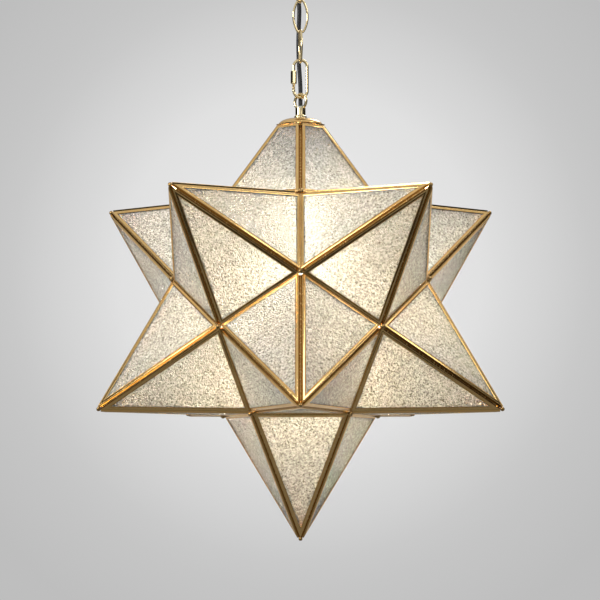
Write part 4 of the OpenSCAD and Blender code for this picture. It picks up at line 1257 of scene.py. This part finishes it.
@dataclass
class Studio:
    """The camera of the photograph, a pale backdrop, soft lamps and the sky.

    The fade and the sky are lists of (place, grey) for their colour ramps.
    """

    distance: float = 2.209
    elevation: float = math.radians(-4.07)
    focal_px: float = 2160.6
    centre_px: tuple[float, float] = (300.48, 307.8)
    frame_px: float = 600
    backdrop_y: float = 5.0
    floor_z: float = -5.0
    fade_size: float = 0.5141
    fade_rise: float = -0.0425
    fade: tuple[tuple[float, float], ...] = (
        (0.0, 0.855), (0.31, 0.752), (0.373, 0.69), (0.423, 0.65),
        (0.46, 0.617), (0.497, 0.584), (0.548, 0.558), (0.685, 0.515))
    sky: tuple[tuple[float, float], ...] = (
        (0.0, 0.18), (0.40, 0.32), (0.55, 0.46), (0.75, 0.66), (1.0, 0.80))

    def build_camera(self) -> None:
        """The camera looks at the star's centre from a little below it."""
        data = bpy.data.cameras.new("camera")
        camera = linked("camera", data)
        back = Vector((0, -math.cos(self.elevation), math.sin(self.elevation)))
        camera.location = Vector(STAR) + back * self.distance
        camera.rotation_euler = (-back).to_track_quat("-Z", "Y").to_euler()
        data.sensor_width = 36
        data.lens = self.focal_px / self.frame_px * data.sensor_width
        data.shift_x = (self.frame_px / 2 - self.centre_px[0]) / self.frame_px
        data.shift_y = (self.centre_px[1] - self.frame_px / 2) / self.frame_px
        data.clip_end = 50
        bpy.context.scene.camera = camera

    def sheet(self, name: str, corners: tuple, made: bpy.types.Material) -> bpy.types.Object:
        """A single flat face of the stage, of that material."""
        mesh = bpy.data.meshes.new(name)
        mesh.from_pydata(corners, [], [(0, 1, 2, 3)])
        mesh.materials.append(made)
        stage = linked(name, mesh)
        return stage

    @staticmethod
    def lit(made: bpy.types.Material, colour: bpy.types.NodeSocket, light: object,
            *rays: str) -> None:
        """Makes a material of that colour plain light to the rays that are named."""
        tree = made.node_tree
        shader = tree.nodes["Principled BSDF"]
        feed(tree, shader, Base_Color=colour)
        path = add(tree, "ShaderNodeLightPath")
        seen = path.outputs[rays[0]]
        for ray in rays[1:]:
            seen = add(tree, "ShaderNodeMath", "MAXIMUM", _0=seen, _1=path.outputs[ray]).outputs[0]
        glow = add(tree, "ShaderNodeEmission", Color=light, Strength=1.0).outputs[0]
        mix = add(tree, "ShaderNodeMixShader", _0=seen, _1=shader.outputs[0], _2=glow)
        feed(tree, tree.nodes["Material Output"], Surface=mix.outputs[0])

    def build_backdrop(self) -> None:
        """A wall with a painted pool of light, whose grey falls off round the middle, seen as
        light, and a pale floor.

        Both lie beyond every camera that goes round the object. The fall-off is drawn for
        a wall nearer by, so its coordinates are scaled down.
        """
        y, z, size = self.backdrop_y, self.floor_z, self.fade_size
        made, tree, _ = material("backdrop")
        where = add(tree, "ShaderNodeTexCoord").outputs["Object"]
        placed = add(tree, "ShaderNodeMapping", Vector=where,
                     Location=(0, -size * y, self.fade_rise), Scale=(size, size, size))
        length = add(tree, "ShaderNodeVectorMath", "LENGTH", _0=placed.outputs[0])
        # painted pool of light: the wall's grey falls from 0.855 in the middle to 0.515 further out
        fade = ramp(tree, length.outputs["Value"], [(at, grey(v)) for at, v in self.fade])
        self.lit(made, fade, fade, "Is Camera Ray", "Is Glossy Ray", "Is Transmission Ray")
        self.sheet("backdrop", ((-9, y, -6), (9, y, -6), (9, y, 6), (-9, y, 6)), made)
        made, tree, shader = material("floor")
        feed(tree, shader, Roughness=0.7)
        mottle = ramp(tree, noise(tree, 30, 2), [(0.3, grey(0.30)), (0.7, grey(0.34))])
        self.lit(made, mottle, (0.6, 0.6, 0.6, 1), "Is Camera Ray")
        self.sheet("floor", ((-16, -16, z), (16, -16, z), (16, 16, z), (-16, 16, z)), made)

    def build_cards(self) -> None:
        """Black cards that only the gloss sees, for the dark side of the brass."""
        made, tree, shader = material("black_card")
        feed(tree, shader, Base_Color=(0.01, 0.01, 0.01, 1), Roughness=0.9)
        for name, (x0, y0), (x1, y1), low, high in (
                ("right_card", (1.0, -1.6), (1.35, -0.9), -0.9, 0.1),
                ("side_left_card", (-1.25, -0.5), (-1.25, 0.9), -0.2, 0.35),
                ("side_right_card", (1.25, -0.9), (1.25, 0.9), -0.2, 0.35),
                ("rear_left_card", (-0.60, 1.2), (-1.3, 1.0), -0.35, 0.25),
                ("rear_right_card", (0.60, 1.2), (1.3, 1.0), -0.35, 0.25)):
            self.card(name, ((x0, y0, low), (x1, y1, low), (x1, y1, high), (x0, y0, high)), made)
        self.card("low_card", ((-0.55, -0.70, -1.04), (0.55, -0.70, -1.04),
                               (0.55, -0.78, -0.80), (-0.55, -0.78, -0.80)), made)

    def card(self, name: str, corners: tuple, made: bpy.types.Material) -> None:
        """One card, hidden from the camera and from light that scatters or passes the glass."""
        card = self.sheet(name, corners, made)
        card.visible_camera = card.visible_diffuse = card.visible_transmission = False

    def build_lights(self) -> None:
        """Six soft boxes that face the star: name, place, size in metres and power in watts."""
        for name, place, size, power in (
                ("key_box", (-1.57, -0.98, 0.35), 0.5, 15),
                ("left_box", (-1.8, -0.1, -0.5), 0.6, 1.0),
                ("right_box", (1.15, -0.5, 0.45), 0.4, 2.5),
                ("back_box", (0.6, 1.2, 0.9), 0.6, 9),
                ("front_box", (-0.85, -1.95, 0.22), 0.5, 1.2),
                ("nut_box", (0.75, -2.05, 0.22), 0.34, 0.5)):
            data = bpy.data.lights.new(name, "AREA")
            data.size, data.energy = size, power
            lamp = linked(name, data)
            lamp.location = place
            facing = Vector(STAR) - lamp.location
            lamp.rotation_euler = facing.to_track_quat("-Z", "Y").to_euler()
            lamp.visible_camera = False

    def build_world(self) -> None:
        """A sky that darkens downwards, plain grey to the camera, and plain colours."""
        world = bpy.data.worlds.new("world")
        bpy.context.scene.world = world
        world.use_nodes = True
        tree = world.node_tree
        way = add(tree, "ShaderNodeTexCoord").outputs["Generated"]
        rise = add(tree, "ShaderNodeSeparateXYZ", Vector=way).outputs["Z"]
        sky = ramp(tree, span(tree, rise, 0, 1, -1, 1), [(at, grey(v)) for at, v in self.sky])
        seen = add(tree, "ShaderNodeLightPath").outputs["Is Camera Ray"]
        colour = mixed(tree, seen, sky, (0.66, 0.66, 0.66, 1))
        feed(tree, tree.nodes["Background"], Color=colour, Strength=0.9)
        bpy.context.scene.view_settings.view_transform = "Standard"


def dress_kept_nodes(nodes: dict[str, bpy.types.Object]) -> None:
    """Gives the CAD nodes that stay their finishes."""
    kept = {
        Finish.BRACKET_STEEL: ("ceiling_bracket",),
        Finish.TERMINAL_PLASTIC: ("terminal_block",),
        Finish.POLISHED_BRASS: ("canopy_nipple", "canopy_nut", "support_nipple", "support_nut",
                                "holder_shell", "hinge_pin"),
        Finish.CAME_BRASS: ("hinge_knuckles", "door_knuckle"),
    }
    for finish, names in kept.items():
        for name in names:
            dress(nodes[name], finish)


def main() -> None:
    """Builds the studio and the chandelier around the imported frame."""
    logging.basicConfig(level=logging.INFO, format="%(name)s %(message)s")
    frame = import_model()
    studio = Studio()
    studio.build_camera()
    PowerCord().build()
    studio.build_backdrop()
    studio.build_cards()
    studio.build_lights()
    studio.build_world()
    star = Star()
    star.build()
    Solder(star).build()
    cap, chain, ceiling = Cap(star), Chain(), Ceiling()
    cap.build()
    star_foot = np.array([0, 0, cap.base + cap.plate + cap.dome_height])
    canopy_foot = np.array([0, 0, -ceiling.height])
    below = turn_z(chain.turned - math.radians(50))
    above = turn_z(chain.turned) @ turn_x(math.pi)
    for kind, name in ((Loop(), "loop"), (Grommet(), "grommet")):
        kind.build(f"star_{name}_turned", "star", f"star_{name}", below, star_foot)
        kind.build(f"canopy_{name}_turned", "ceiling", f"canopy_{name}", above, canopy_foot)
    chain.build()
    ceiling.build()
    Lamp().build()
    dress_kept_nodes(frame["nodes"])


if __name__ == "__main__":
    main()
